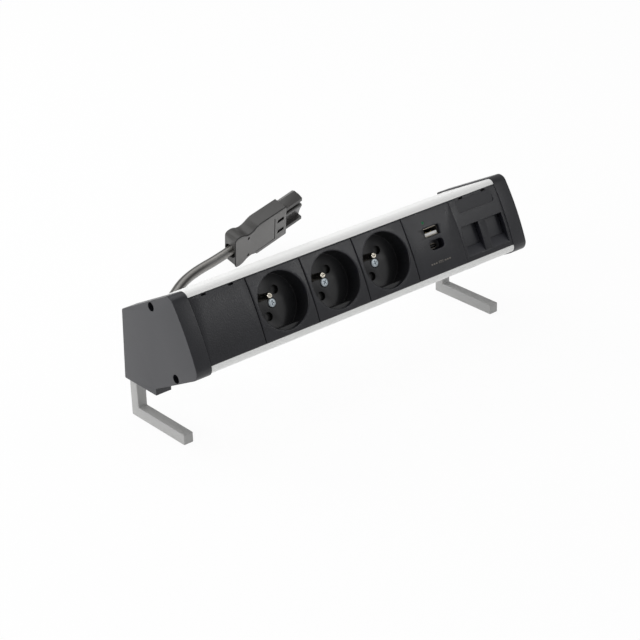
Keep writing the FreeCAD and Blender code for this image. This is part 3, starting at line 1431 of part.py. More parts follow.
# The connector's housing: two shells closed on each other, with a collar at the rear, a
# drawn-in waist, a mouth for the lead, two key slots and the seat of the insert
def connector_housing():
    body = new_body("connector_housing")
    high, long, thick = S["ConnectorHeight"], S["ConnectorLength"], S["ConnectorThickness"]
    proud, corner, collar = S["CollarProud"], S["CollarCorner"], S["CollarEnd"]
    start, end, shoulder = S["WaistStart"], S["WaistEnd"], S["ShoulderStart"]
    waist = S["WaistDepth"]
    outline = new_sketch(body, "outline", "XZ_Plane")
    draw(
        outline,
        [
            (0, corner),
            (corner * 0.3, corner * 0.3),
            (corner, 0),
            (collar, 0),
            (start, waist),
            (end, waist),
            (shoulder, 0),
            (long, 0),
            (long, high),
            (shoulder, high),
            (end, high - waist),
            (start, high - waist),
            (collar, high + proud * 0.7),
            (corner, high + proud),
            (corner * 0.3, high + proud - corner * 0.3),
            (0, high + proud - corner),
        ],
    )
    pad(body, outline, thick, backwards=True)

    def side_edge(edge):
        box = edge.BoundBox
        flat = near(box.YMin, box.YMax)
        return flat and (near(box.YMin, 0) or near(box.YMin, thick))

    round_edges(body, "edges", S["ConnectorEdge"], side_edge)
    mouth = new_sketch(body, "mouth", "YZ_Plane", -S["CutPast"])
    draw_circle(mouth, thick / 2, high / 2, S["FunnelMouth"])
    pocket(body, mouth, S["FunnelDepth"] + S["CutPast"], backwards=True)
    seat_hole = new_sketch(body, "insert_seat", "YZ_Plane", long + S["CutPast"])
    gap = S["InsertGap"] * 2
    draw_box(seat_hole, thick / 2, S["SleeveRise"], insert_width() + gap, insert_height() + gap)
    pocket(body, seat_hole, S["SleeveHold"] + S["CutPast"])
    for slot_z, word in ((S["SlotLow"], "low"), (S["SlotHigh"], "high")):
        slot = new_sketch(body, f"slot_{word}", "XZ_Plane")
        middle_x = S["SlotStart"] + S["SlotLength"] / 2
        draw_box(slot, middle_x, slot_z, S["SlotLength"], S["SlotHeight"])
        pocket(body, slot, S["SlotDepth"])
    seat_connector(body)


def insert_width():
    return S["ConnectorThickness"] - (S["InsertMargin"] + S["InsertGap"]) * 2


def insert_height():
    return S["SleevePitch"] * 2 + S["SleeveHeight"] - S["SleeveCorner"] * 2


# The insert at the connector's front: a root in the housing, and three sleeves in a row
# that a narrower core joins
def connector_insert():
    body = new_body("connector_insert")
    long, rise = S["ConnectorLength"], S["SleeveRise"]
    middle_y = S["ConnectorThickness"] / 2
    root_block = new_sketch(body, "root", "YZ_Plane", long - S["SleeveHold"])
    draw_box(root_block, middle_y, rise, insert_width(), insert_height())
    pad(body, root_block, S["SleeveHold"])
    core = new_sketch(body, "core", "YZ_Plane", long)
    draw_box(core, middle_y, rise, S["CoreWidth"], S["SleevePitch"] * 2)
    pad(body, core, S["SleeveLength"])
    places = [(number, rise + S["SleevePitch"] * (number - 2)) for number in (1, 2, 3)]
    for number, z in places:
        sleeve = new_sketch(body, f"sleeve_{number}", "YZ_Plane", long)
        draw_box(sleeve, middle_y, z, S["SleeveWidth"], S["SleeveHeight"], S["SleeveCorner"])
        pad(body, sleeve, S["SleeveLength"])
    for number, z in places:
        bore = new_sketch(body, f"bore_{number}", "YZ_Plane", long + S["SleeveLength"])
        draw_circle(bore, middle_y, z, S["SleeveBore"])
        pocket(body, bore, S["BoreDepth"])
    seat_connector(body)


# The three contact pins, each standing on the floor of its bore
def connector_pins():
    pins = []
    start = S["ConnectorLength"] + S["SleeveLength"] - S["BoreDepth"]
    for number in (1, 2, 3):
        length = S["BoreDepth"] - S["PinSink"]
        pin = cylinder(f"connector_pin_{number}", S["ContactPin"], length)
        z = S["SleeveRise"] + S["SleevePitch"] * (number - 2)
        seat(pin, start, S["ConnectorThickness"] / 2, z, (0, 1, 0), 90)
        pins.append(pin)
    seat_connector(group("connector_pins", pins))


profile_extrusion()
end_cap("end_cap_left", -1)
end_cap("end_cap_right", 1)
end_cap_screws()
foot("foot_left", -1)
foot("foot_right", 1)
foot_studs()
blank_plate()
for number, place in enumerate(SOCKET_PLACES, start=1):
    label = f"socket_{number}"
    socket_front(label, place)
    socket_base(label, place)
    socket_shutter(label, place)
    socket_earth_pin(label, place)
    socket_screw(label, place)
    socket_contacts(label, place)
usb_front()
usb_housing()
usb_board()
usb_large_port()
usb_small_port()
usb_light_pipe()
data_front()
data_label_cover()
data_frame()
data_cover("data_cover_left", -1)
data_cover("data_cover_right", 1)
wires()
terminal_block()
cord_gland()
supply_cord()
connector_housing()
connector_insert()
connector_pins()

doc.recompute()

faults = []
for thing in doc.Objects:
    if "Invalid" in thing.State or "Error" in thing.State:
        faults.append(f"{thing.Name}: {thing.State}")
for piece in pieces:
    if piece.Shape.isNull() or not piece.Shape.isValid() or not piece.Shape.Solids:
        faults.append(f"{piece.Label}: its shape is null or not valid")
if faults:
    raise SystemExit("\n".join(faults))

os.makedirs("parts", exist_ok=True)
for piece in pieces:
    piece.Shape.exportStep(f"parts/{piece.Label}.step")
print(len(pieces), "nodes written")
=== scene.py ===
import math

import bmesh
import bpy
from mathutils import Matrix, Vector, kdtree


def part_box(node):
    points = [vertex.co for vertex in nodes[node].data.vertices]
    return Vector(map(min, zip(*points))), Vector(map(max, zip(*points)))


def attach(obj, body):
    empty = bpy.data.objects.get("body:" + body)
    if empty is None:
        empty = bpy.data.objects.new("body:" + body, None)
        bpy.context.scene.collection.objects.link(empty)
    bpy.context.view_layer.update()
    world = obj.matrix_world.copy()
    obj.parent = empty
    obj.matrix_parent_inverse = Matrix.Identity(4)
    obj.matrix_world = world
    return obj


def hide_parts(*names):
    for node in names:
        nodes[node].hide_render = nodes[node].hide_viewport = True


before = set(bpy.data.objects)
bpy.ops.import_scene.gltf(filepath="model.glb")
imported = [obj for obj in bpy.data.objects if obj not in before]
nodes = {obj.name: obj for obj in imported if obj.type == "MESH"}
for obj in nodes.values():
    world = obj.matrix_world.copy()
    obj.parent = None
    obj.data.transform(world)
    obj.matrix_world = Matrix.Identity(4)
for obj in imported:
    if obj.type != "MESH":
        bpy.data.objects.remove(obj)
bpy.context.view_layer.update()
scene = bpy.context.scene
scene.view_settings.view_transform = "Standard"


# The camera stands to the left of the power module and looks down along its front
# through a long lens.
camera_data = bpy.data.cameras.new("camera")
camera_data.lens = 106.4
camera_data.sensor_width = 36
camera = bpy.data.objects.new("camera", camera_data)
camera.location = (-0.75346, -0.89321, 0.61303)
camera.rotation_euler = (1.11206, 0.02686, -0.70613)
scene.collection.objects.link(camera)
scene.camera = camera


# The table and the light: a white sweep that reads as plain white, with the shadow of
# the object left on it, three large soft lamps, and a smaller one at the front right
# that gives the black fronts their sheen.
TABLE_SIZE = 6
TABLE_GLOW_SHARE = 0.94
ROOM_STRENGTH = 0.42
LAMP_TARGET = Vector((0, 0, 0.05))

table_mesh = bpy.data.meshes.new("table")
table = bpy.data.objects.new("table", table_mesh)
scene.collection.objects.link(table)
sweep = bmesh.new()
bmesh.ops.create_grid(sweep, x_segments=1, y_segments=1, size=TABLE_SIZE)
sweep.to_mesh(table_mesh)
sweep.free()


def math_node(tree, operation, *values):
    """A Math node fed by numbers and by the outputs of other nodes."""
    node = tree.nodes.new("ShaderNodeMath")
    node.operation = operation
    for socket, value in zip(node.inputs, values):
        if isinstance(value, bpy.types.NodeSocket):
            tree.links.new(value, socket)
        else:
            socket.default_value = value
    return node.outputs[0]


def mix_shaders(tree, share, first, second, output):
    """Mix two shaders by a share of the second, on to an output node."""
    mix = tree.nodes.new("ShaderNodeMixShader")
    tree.links.new(share, mix.inputs["Fac"])
    tree.links.new(first, mix.inputs[1])
    tree.links.new(second, mix.inputs[2])
    tree.links.new(mix.outputs["Shader"], tree.nodes[output].inputs["Surface"])


table_white = bpy.data.materials.new("table_white")
table_white.use_nodes = True
tree = table_white.node_tree
lit = tree.nodes["Principled BSDF"]
lit.inputs["Base Color"].default_value = (0.93, 0.93, 0.93, 1)
lit.inputs["Roughness"].default_value = 0.9
glow = tree.nodes.new("ShaderNodeEmission")
glow.inputs["Strength"].default_value = 1.0
rays = tree.nodes.new("ShaderNodeLightPath")
seen = math_node(tree, "MAXIMUM", rays.outputs["Is Camera Ray"], rays.outputs["Is Glossy Ray"])
share = math_node(tree, "MULTIPLY", seen, TABLE_GLOW_SHARE)
mix_shaders(tree, share, lit.outputs["BSDF"], glow.outputs["Emission"], "Material Output")
table_mesh.materials.append(table_white)

world = bpy.data.worlds.new("room")
scene.world = world
world.use_nodes = True
tree = world.node_tree
room = tree.nodes["Background"]
room.inputs["Color"].default_value = (1, 1, 1, 1)
room.inputs["Strength"].default_value = ROOM_STRENGTH
bright = tree.nodes.new("ShaderNodeBackground")
bright.inputs["Strength"].default_value = 1.0
rays = tree.nodes.new("ShaderNodeLightPath")
mix_shaders(
    tree, rays.outputs["Is Camera Ray"], room.outputs["Background"],
    bright.outputs["Background"], "World Output",
)


def lamp(name, place, size, power):
    """A square area lamp that faces the object."""
    data = bpy.data.lights.new(name, "AREA")
    data.shape = "SQUARE"
    data.size = size
    data.energy = power
    thing = bpy.data.objects.new(name, data)
    thing.location = place
    look = LAMP_TARGET - Vector(place)
    thing.rotation_euler = look.to_track_quat("-Z", "Y").to_euler()
    scene.collection.objects.link(thing)


lamp("overhead_lamp", (0.1, 0.35, 1.3), size=1.1, power=4.6)
lamp("left_lamp", (-1.5, 0.1, 0.45), size=0.9, power=11)
lamp("back_lamp", (-0.4, 1.3, 0.9), size=0.9, power=8)
lamp("key_lamp", (0.9, -1.13, 0.80), size=0.3, power=1.8)


# The profile: one aluminium extrusion, anodised in a silver white. Two rounded lips run
# along its open front, and the inserts snap in behind them.
TILT = math.radians(62.6)
FACE_Y, FACE_Z = -0.02969, 0.08395
SLANT = Matrix.Translation((0, FACE_Y, FACE_Z)) @ Matrix.Rotation(TILT, 4, "X")
HALF_LENGTH = 0.135
PROFILE_HALF = 0.0271
PROFILE_DEPTH = 0.0542
PROFILE_WALL = 0.0018
MOUTH_HALF = 0.02265
LIP_THICKNESS = 0.0022
LIP_ROUNDING = 0.0043
EDGE_ROUNDING = 0.0003
GRAIN_DEPTH = 0.0002


def principled(name, colour, roughness, metallic=0.0):
    material = bpy.data.materials.new(name)
    material.use_nodes = True
    shader = material.node_tree.nodes["Principled BSDF"]
    shader.inputs["Base Color"].default_value = (*colour, 1)
    shader.inputs["Roughness"].default_value = roughness
    shader.inputs["Metallic"].default_value = metallic
    return material


def make_grain():
    """Fine mottling that a mould or a coating leaves: a shade for the colour, a
    roughness, and a height for the bump."""
    group = bpy.data.node_groups.new("surface_grain", "ShaderNodeTree")
    for name, way, kind in (
        ("Vector", "INPUT", "NodeSocketVector"),
        ("Colour", "INPUT", "NodeSocketColor"),
        ("Scale", "INPUT", "NodeSocketFloat"),
        ("Contrast", "INPUT", "NodeSocketFloat"),
        ("Roughness", "INPUT", "NodeSocketFloat"),
        ("Colour", "OUTPUT", "NodeSocketColor"),
        ("Roughness", "OUTPUT", "NodeSocketFloat"),
        ("Height", "OUTPUT", "NodeSocketFloat"),
    ):
        group.interface.new_socket(name, in_out=way, socket_type=kind)
    link = group.links.new
    inside = group.nodes.new("NodeGroupInput")
    outside = group.nodes.new("NodeGroupOutput")
    fine = group.nodes.new("ShaderNodeTexNoise")
    fine.inputs["Detail"].default_value = 3
    link(inside.outputs["Vector"], fine.inputs["Vector"])
    link(inside.outputs["Scale"], fine.inputs["Scale"])
    broad = group.nodes.new("ShaderNodeTexNoise")
    broad.inputs["Scale"].default_value = 45
    broad.inputs["Detail"].default_value = 4
    link(inside.outputs["Vector"], broad.inputs["Vector"])
    half = math_node(group, "MULTIPLY", broad.outputs["Fac"], 0.5)
    both = math_node(group, "MULTIPLY_ADD", fine.outputs["Fac"], 0.5, half)
    centred = math_node(group, "SUBTRACT", both, 0.5)
    swing = math_node(group, "MULTIPLY_ADD", centred, inside.outputs["Contrast"], 1.0)
    shade = group.nodes.new("ShaderNodeVectorMath")
    shade.operation = "SCALE"
    link(inside.outputs["Colour"], shade.inputs[0])
    link(swing, shade.inputs["Scale"])
    link(shade.outputs["Vector"], outside.inputs["Colour"])
    dull = math_node(group, "MULTIPLY", inside.outputs["Roughness"], swing)
    link(dull, outside.inputs["Roughness"])
    link(fine.outputs["Fac"], outside.inputs["Height"])
    return group


surface_grain = make_grain()


def grained(name, colour, roughness, scale, contrast, bump, metallic=0.0):
    """A finish whose colour, gloss and bump follow the grain."""
    material = principled(name, colour, roughness, metallic)
    tree = material.node_tree
    shader = tree.nodes["Principled BSDF"]
    where = tree.nodes.new("ShaderNodeTexCoord")
    grain = tree.nodes.new("ShaderNodeGroup")
    grain.node_tree = surface_grain
    grain.inputs["Colour"].default_value = (*colour, 1)
    grain.inputs["Scale"].default_value = scale
    grain.inputs["Contrast"].default_value = contrast
    grain.inputs["Roughness"].default_value = roughness
    rise = tree.nodes.new("ShaderNodeBump")
    rise.inputs["Strength"].default_value = bump
    rise.inputs["Distance"].default_value = GRAIN_DEPTH
    tree.links.new(where.outputs["Object"], grain.inputs["Vector"])
    tree.links.new(grain.outputs["Colour"], shader.inputs["Base Color"])
    tree.links.new(grain.outputs["Roughness"], shader.inputs["Roughness"])
    tree.links.new(grain.outputs["Height"], rise.inputs["Height"])
    tree.links.new(rise.outputs["Normal"], shader.inputs["Normal"])
    return material


def finish_piece(name, mesh, place, finishes, stands_for, smooth=35, body="base"):
    """Turn a bmesh into a piece in its place, shaded smooth up to an angle."""
    bmesh.ops.remove_doubles(mesh, verts=mesh.verts, dist=1e-6)
    bmesh.ops.dissolve_degenerate(mesh, edges=mesh.edges, dist=1e-7)
    bmesh.ops.recalc_face_normals(mesh, faces=mesh.faces)
    mesh.transform(place)
    data = bpy.data.meshes.new(name)
    mesh.to_mesh(data)
    mesh.free()
    data.polygons.foreach_set("use_smooth", [True] * len(data.polygons))
    data.set_sharp_from_angle(angle=math.radians(smooth))
    for finish in finishes:
        data.materials.append(finish)
    piece = bpy.data.objects.new(name, data)
    scene.collection.objects.link(piece)
    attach(piece, body)
    if stands_for:
        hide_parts(stands_for)
    return piece


def new_verts(made):
    """The vertices that an operator made."""
    return [part for part in made["geom"] if isinstance(part, bmesh.types.BMVert)]


def edges_where(mesh, test):
    return [edge for edge in mesh.edges if test(edge)]


def runs_along_x(edge):
    way = edge.verts[1].co - edge.verts[0].co
    return abs(way.y) + abs(way.z) < 1e-6


def bevel_edges(mesh, edges, offset, segments=3):
    bmesh.ops.bevel(
        mesh, geom=edges, offset=offset, offset_type="OFFSET", segments=segments,
        profile=0.5, affect="EDGES", clamp_overlap=True, material=-1,
    )


def prism(mesh, outline, length, start):
    """A bar along X with an outline of (y, z) corners."""
    corners = [mesh.verts.new((start, y, z)) for y, z in outline]
    face = mesh.faces.new(corners)
    grown = bmesh.ops.extrude_face_region(mesh, geom=[face])
    bmesh.ops.translate(mesh, verts=new_verts(grown), vec=(length, 0, 0))


def profile_outline():
    """The extrusion's section: a thin box, open in front between its two lips."""
    inner = PROFILE_HALF - PROFILE_WALL
    floor = PROFILE_WALL - PROFILE_DEPTH
    return [
        (MOUTH_HALF, 0), (MOUTH_HALF, -LIP_THICKNESS), (inner, -LIP_THICKNESS), (inner, floor),
        (-inner, floor), (-inner, -LIP_THICKNESS), (-MOUTH_HALF, -LIP_THICKNESS),
        (-MOUTH_HALF, 0), (-PROFILE_HALF, 0), (-PROFILE_HALF, -PROFILE_DEPTH),
        (PROFILE_HALF, -PROFILE_DEPTH), (PROFILE_HALF, 0),
    ]


def profile_edges(mesh, half, z):
    """The long edges above and below the middle, at one depth."""
    return edges_where(
        mesh,
        lambda e: runs_along_x(e)
        and abs(abs(e.verts[0].co.y) - half) < 1e-5
        and abs(e.verts[0].co.z - z) < 1e-5,
    )


anodised_white = grained(
    "anodised_white", (0.885, 0.888, 0.877), 0.36, scale=1500, contrast=0.05, bump=0.04
)
profile_mesh = bmesh.new()
prism(profile_mesh, profile_outline(), HALF_LENGTH * 2, -HALF_LENGTH)
bevel_edges(profile_mesh, profile_edges(profile_mesh, PROFILE_HALF, 0), LIP_ROUNDING, 10)
small_edges = profile_edges(profile_mesh, PROFILE_HALF, -PROFILE_DEPTH)
small_edges += profile_edges(profile_mesh, MOUTH_HALF, 0)
bevel_edges(profile_mesh, small_edges, EDGE_ROUNDING)
finish_piece(
    "profile", profile_mesh, SLANT, [anodised_white], "profile_extrusion"
)


# The end caps: thick mouldings in a dark grey plastic with a fine grain. They close the
# profile's ends, and two black screws hold each of them.
INSERT_HEIGHT = 0.045
CROWN_RADIUS = 0.181
CROWN = CROWN_RADIUS - math.sqrt(CROWN_RADIUS**2 - (INSERT_HEIGHT / 2) ** 2)
CAP_HALF = 0.0281
CAP_THICKNESS = 0.012
CAP_LEAD = 0.00045
CAP_TOP_BACK = 0.0382
CAP_BACK = 0.0408
CAP_STEP = 0.00545
CAP_BOTTOM = 0.029
CAP_SIDE = HALF_LENGTH + CAP_THICKNESS
SCREW_RISE = 0.02435
SCREW_BACK = 0.026
SEAT_RADIUS = 0.0033
SEAT_DEPTH = 0.0068


def crown_at(y):
    """How far the crowned fronts stand out at a height."""
    return CROWN - (CROWN_RADIUS - math.sqrt(CROWN_RADIUS**2 - y * y))


def edges_between(mesh, verts):
    """The edges that have both ends among some vertices."""
    chosen = set(verts)
    return edges_where(mesh, lambda e: e.verts[0] in chosen and e.verts[1] in chosen)


def edges_of(loops):
    return [edge for loop in loops for edge in loop["edges"]]


def fill(mesh, edges, normal=(0, 0, 1)):
    """Fill a flat outline round the holes in it."""
    bmesh.ops.triangle_fill(mesh, use_beauty=True, edges=edges, normal=normal)


def open_wall(mesh, test, loops, normal):
    """Replace a flat wall by one with holes."""
    flat = {face for face in mesh.faces if all(test(vert.co) for vert in face.verts)}
    bounds = edges_where(
        mesh,
        lambda e: any(face in flat for face in e.link_faces)
        and any(face not in flat for face in e.link_faces),
    )
    bmesh.ops.delete(mesh, geom=list(flat), context="FACES_ONLY")
    fill(mesh, bounds + edges_of(loops), normal)


def round_corners(mesh, verts, offset, segments):
    """Round the corners of a flat face."""
    bmesh.ops.bevel(
        mesh, geom=verts, offset=offset, offset_type="OFFSET", segments=segments,
        profile=0.5, affect="VERTICES", clamp_overlap=True, material=-1,
    )


def on_panel(y, z):
    """A point (y, z) of the part, in the slanting frame."""
    back, rise = y - FACE_Y, z - FACE_Z
    return (
        back * math.cos(TILT) + rise * math.sin(TILT),
        rise * math.cos(TILT) - back * math.sin(TILT),
    )


def cap_outline():
    """The cap's side, as (y, z) corners in the slanting frame."""
    lead = crown_at(CAP_HALF) + CAP_LEAD
    top_y = FACE_Y + CAP_HALF * math.cos(TILT)
    low_y = FACE_Y - CAP_HALF * math.cos(TILT)
    return [
        (-CAP_HALF, lead), (CAP_HALF, lead),
        (CAP_HALF, (top_y - CAP_TOP_BACK) / math.sin(TILT)),
        on_panel(CAP_BACK, CAP_BOTTOM), on_panel(CAP_STEP, CAP_BOTTOM),
        (-CAP_HALF, (low_y - CAP_STEP) / math.sin(TILT)),
    ]


def screw_seat(mesh, rise):
    """A round seat for a screw's head, sunk in the cap's side behind a small lip."""
    made = bmesh.ops.create_circle(mesh, segments=40, radius=SEAT_RADIUS, cap_ends=False)
    turn = Matrix.Rotation(math.pi / 2, 3, "Y")
    bmesh.ops.rotate(mesh, verts=made["verts"], cent=(0, 0, 0), matrix=turn)
    bmesh.ops.translate(mesh, verts=made["verts"], vec=(CAP_SIDE, rise, -SCREW_BACK))
    edge = edges_between(mesh, made["verts"])
    lip = new_verts(bmesh.ops.extrude_edge_only(mesh, edges=edge))
    for vert in lip:
        vert.co.x -= 0.0002
        vert.co.y = rise + (vert.co.y - rise) * 0.94
        vert.co.z = (vert.co.z + SCREW_BACK) * 0.94 - SCREW_BACK
    low = new_verts(bmesh.ops.extrude_edge_only(mesh, edges=edges_between(mesh, lip)))
    bmesh.ops.translate(mesh, verts=low, vec=(-SEAT_DEPTH, 0, 0))
    bmesh.ops.contextual_create(mesh, geom=edges_between(mesh, low))
    return {"edges": edge}


def end_cap(name, side, node):
    mesh = bmesh.new()
    verts = [mesh.verts.new((CAP_SIDE, y, z)) for y, z in cap_outline()]
    mesh.faces.new(verts)
    round_corners(mesh, verts[:2], 0.0056, 10)
    round_corners(mesh, [v for v in mesh.verts if v.co.z < -0.02], 0.0008, 3)
    front = edges_where(
        mesh, lambda e: all(abs(v.co.y) < 0.024 and v.co.z > -0.002 for v in e.verts)
    )
    bmesh.ops.subdivide_edges(mesh, edges=front, cuts=24)
    for vert in mesh.verts:
        if vert.co.z > -0.006:
            vert.co.z += crown_at(vert.co.y) - crown_at(CAP_HALF)
    grown = bmesh.ops.extrude_face_region(mesh, geom=mesh.faces[:])
    bmesh.ops.translate(mesh, verts=new_verts(grown), vec=(-CAP_THICKNESS, 0, 0))
    rim = edges_where(mesh, lambda e: all(abs(v.co.x - CAP_SIDE) < 1e-6 for v in e.verts))
    bevel_edges(mesh, rim, 0.0007, 4)
    seats = [screw_seat(mesh, rise) for rise in (SCREW_RISE, -SCREW_RISE)]
    open_wall(mesh, lambda co: abs(co.x - CAP_SIDE) < 1e-6, seats, (1, 0, 0))
    mesh.normal_update()
    # Lit and shaded copies of one plastic: faces turned to the sides get a lighter grey, painted
    # light, and the fronts and edges a darker grey, painted shade.
    for face in mesh.faces:
        face.material_index = 0 if abs(face.normal.x) > 0.6 else 1
    if side < 0:
        bmesh.ops.scale(mesh, verts=mesh.verts, vec=(-1, 1, 1))
    finish_piece(name, mesh, SLANT, [cap_grey, cap_front_painted_shade], node)


def dress(names, material):
    """Give CAD nodes one material."""
    for name in names:
        mesh = nodes[name].data
        mesh.materials.clear()
        mesh.materials.append(material)


# The cap's two copies of one plastic: painted light on the side, painted shade on the front.
cap_grey = grained("cap_grey", (0.0425, 0.043, 0.0475), 0.45, scale=1300, contrast=0.3, bump=0.2)
cap_front_painted_shade = grained(
    "cap_front_painted_shade", (0.0105, 0.0109, 0.0148), 0.36, scale=1300, contrast=0.8, bump=0.4
)
cap_screw_black = grained(
    "cap_screw_black", (0.03, 0.03, 0.03), 0.35, scale=900, contrast=0.2, bump=0.05, metallic=0.5
)
end_cap("cap_left", -1, "end_cap_left")
end_cap("cap_right", 1, "end_cap_right")
dress(["end_cap_screws"], cap_screw_black)


# The feet: square steel bars, bent to an L and coated in a satin silver grey. A stud
# holds each under its end cap.
BAR = 0.0076
FOOT_BACK = 0.041
FOOT_FRONT = -0.017


def foot(name, node):
    mesh = bmesh.new()
    outline = [
        (FOOT_BACK, 0), (FOOT_BACK, CAP_BOTTOM), (FOOT_BACK - BAR, CAP_BOTTOM),
        (FOOT_BACK - BAR, BAR), (FOOT_FRONT, BAR), (FOOT_FRONT, 0),
    ]
    prism(mesh, outline, BAR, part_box(node)[0].x)
    below_cap = edges_where(mesh, lambda e: min(v.co.z for v in e.verts) < CAP_BOTTOM - 0.0001)
    bevel_edges(mesh, below_cap, 0.0007, 4)
    finish_piece(name, mesh, Matrix.Identity(4), [foot_silver], node)


foot_silver = grained(
    "foot_silver", (0.38, 0.38, 0.375), 0.42, scale=1500, contrast=0.12, bump=0.08, metallic=0.15
)
zinc_plate = grained(
    "zinc_plate", (0.5, 0.56, 0.6), 0.38, scale=800, contrast=0.15, bump=0.05, metallic=0.6
)
foot("bar_foot_left", "foot_left")
foot("bar_foot_right", "foot_right")
dress(["foot_studs"], zinc_plate)


# The blank plate: a crowned square in charcoal plastic that snaps into the first place
# and hides the lead's terminals. Two notches at its top let a driver lift it out.
PITCH = 0.045
FRONT_WIDTH = 0.0445
SKIRT = 0.003


def plate_matrix(place):
    """The middle of one of the six places, counted from 0 at the left."""
    return SLANT @ Matrix.Translation((PITCH * (place - 2.5), 0, 0))


def ring(mesh, x, y, width, height, corner, z=0.0, steps=32):
    """A closed ring of edges: a rectangle with round corners, or a circle. It keeps its
    measures, so that step can carry it on."""
    made = bmesh.ops.create_circle(mesh, segments=steps, radius=corner, cap_ends=False)
    turn = Matrix.Rotation(math.pi / steps, 3, "Z")
    bmesh.ops.rotate(mesh, verts=made["verts"], cent=(0, 0, 0), matrix=turn)
    for vert in made["verts"]:
        vert.co.x += x + math.copysign(width / 2 - corner, vert.co.x)
        vert.co.y += y + math.copysign(height / 2 - corner, vert.co.y)
        vert.co.z = z
    edges = edges_between(mesh, made["verts"])
    return {"edges": edges, "x": x, "y": y, "width": width, "height": height, "corner": corner}


def step(mesh, loop, inset, drop):
    """Carry a ring on: draw it in evenly and lower it."""
    verts = new_verts(bmesh.ops.extrude_edge_only(mesh, edges=loop["edges"]))
    scale = (loop["corner"] - inset) / loop["corner"]
    reach_x = loop["width"] / 2 - loop["corner"]
    reach_y = loop["height"] / 2 - loop["corner"]
    for vert in verts:
        from_x = loop["x"] + math.copysign(reach_x, vert.co.x - loop["x"])
        from_y = loop["y"] + math.copysign(reach_y, vert.co.y - loop["y"])
        vert.co.x = from_x + (vert.co.x - from_x) * scale
        vert.co.y = from_y + (vert.co.y - from_y) * scale
        vert.co.z -= drop
    return {
        "edges": edges_between(mesh, verts), "x": loop["x"], "y": loop["y"],
        "width": loop["width"] - inset * 2, "height": loop["height"] - inset * 2,
        "corner": loop["corner"] - inset,
    }


def steps_down(mesh, loop, moves):
    for inset, drop in moves:
        loop = step(mesh, loop, inset, drop)
    return loop


def round_steps(radius, count=3):
    """Insets and drops that carry a ring round a small rounding."""
    moves = []
    for n in range(count):
        a, b = math.pi / 2 * n / count, math.pi / 2 * (n + 1) / count
        moves.append((radius * (math.sin(b) - math.sin(a)), radius * (math.cos(a) - math.cos(b))))
    return moves


def close_ring(mesh, loop):
    """Close a ring with one flat face."""
    bmesh.ops.contextual_create(mesh, geom=loop["edges"])


def follow_crown(mesh, cuts=36):
    """Cut a flat front across and bend it on to the crowned shape of the row."""
    for n in range(1, cuts):
        bmesh.ops.bisect_plane(
            mesh, geom=mesh.verts[:] + mesh.edges[:] + mesh.faces[:], dist=1e-7,
            plane_co=(0, INSERT_HEIGHT * (n / cuts - 0.5), 0), plane_no=(0, 1, 0),
        )
    for vert in mesh.verts:
        share = min(1.0, max(0.0, (vert.co.z + SKIRT) / 0.002))
        vert.co.z += crown_at(vert.co.y) * share


def front_frame(mesh, holes, width, middle=0.0, rounding=0.0004):
    """The face of an insert, with its rounded edge and skirt, round the given holes."""
    edge = ring(
        mesh, middle, 0, width - rounding * 2, INSERT_HEIGHT - rounding * 2, 0.0003, steps=16
    )
    fill(mesh, edges_of([edge] + holes))
    for inset, drop in reversed(round_steps(rounding)):
        edge = step(mesh, edge, -drop, inset)
    step(mesh, edge, 0, SKIRT)


def notches(mesh):
    """The two release notches at the top edge, as dark pockets."""
    found = []
    for side in (-1, 1):
        notch = ring(mesh, 0.011 * side, 0.0214, 0.0042, 0.0012, 0.0002, steps=16)
        close_ring(mesh, steps_down(mesh, notch, [(0.00005, 0.0001), (0, 0.0024)]))
        found.append(notch)
    return found


charcoal = grained("charcoal", (0.0068, 0.0072, 0.011), 0.34, scale=1200, contrast=1.2, bump=0.5)
blank_mesh = bmesh.new()
front_frame(blank_mesh, notches(blank_mesh), FRONT_WIDTH)
follow_crown(blank_mesh)
finish_piece("blank_front", blank_mesh, plate_matrix(0), [charcoal], "blank_plate")


# The three sockets: a crowned frame with a deep round recess, moulded in one piece. Its
# floor has the two pin holes, the earth pin and the zinc-plated screw in the middle.
RECESS_WIDTH = 0.0406
RECESS_FLOOR = CROWN - 0.0145
LEDGE_FLAT = -0.0168
PIN_TURN = math.radians(55)
PIN_HALF_PITCH = 0.0095
EARTH_OFFSET = 0.010
PIN_HOLE = 0.0064
EARTH_SEAT = 0.0056
SCREW_SEAT = 0.0070
SCREW_HEAD = 0.0048


def on_socket(x, y):
    """A point of the socket's own cross, which is turned in its frame."""
    return (
        x * math.cos(PIN_TURN) - y * math.sin(PIN_TURN),
        x * math.sin(PIN_TURN) + y * math.cos(PIN_TURN),
    )


def verts_of(loop):
    return list(dict.fromkeys(vert for edge in loop["edges"] for vert in edge.verts))


def recess(mesh):
    """The mouth's rounding, the wall with its lower ledge, and the floor's rounding."""
    mouth = ring(mesh, 0, 0, RECESS_WIDTH, RECESS_WIDTH, RECESS_WIDTH / 2, steps=96)
    front_frame(mesh, [mouth], FRONT_WIDTH)
    wall = steps_down(mesh, mouth, round_steps(0.0008, 4) + [(0, 0.0022)])
    ledge = step(mesh, wall, 0, 0)
    for vert in verts_of(ledge):
        vert.co.y = max(LEDGE_FLAT, vert.co.y)
    floor = step(mesh, ledge, 0, 0)
    for vert in verts_of(floor):
        vert.co.z = RECESS_FLOOR + 0.0002
    for inset, drop in reversed(round_steps(0.0002, 2)):
        floor = step(mesh, floor, drop, inset)


def floor_hole(mesh, x, y, width, moves):
    """A round hole in the recess's floor, carried down by some steps."""
    hole = ring(mesh, x, y, width, width, width / 2, RECESS_FLOOR)
    return steps_down(mesh, hole, moves)


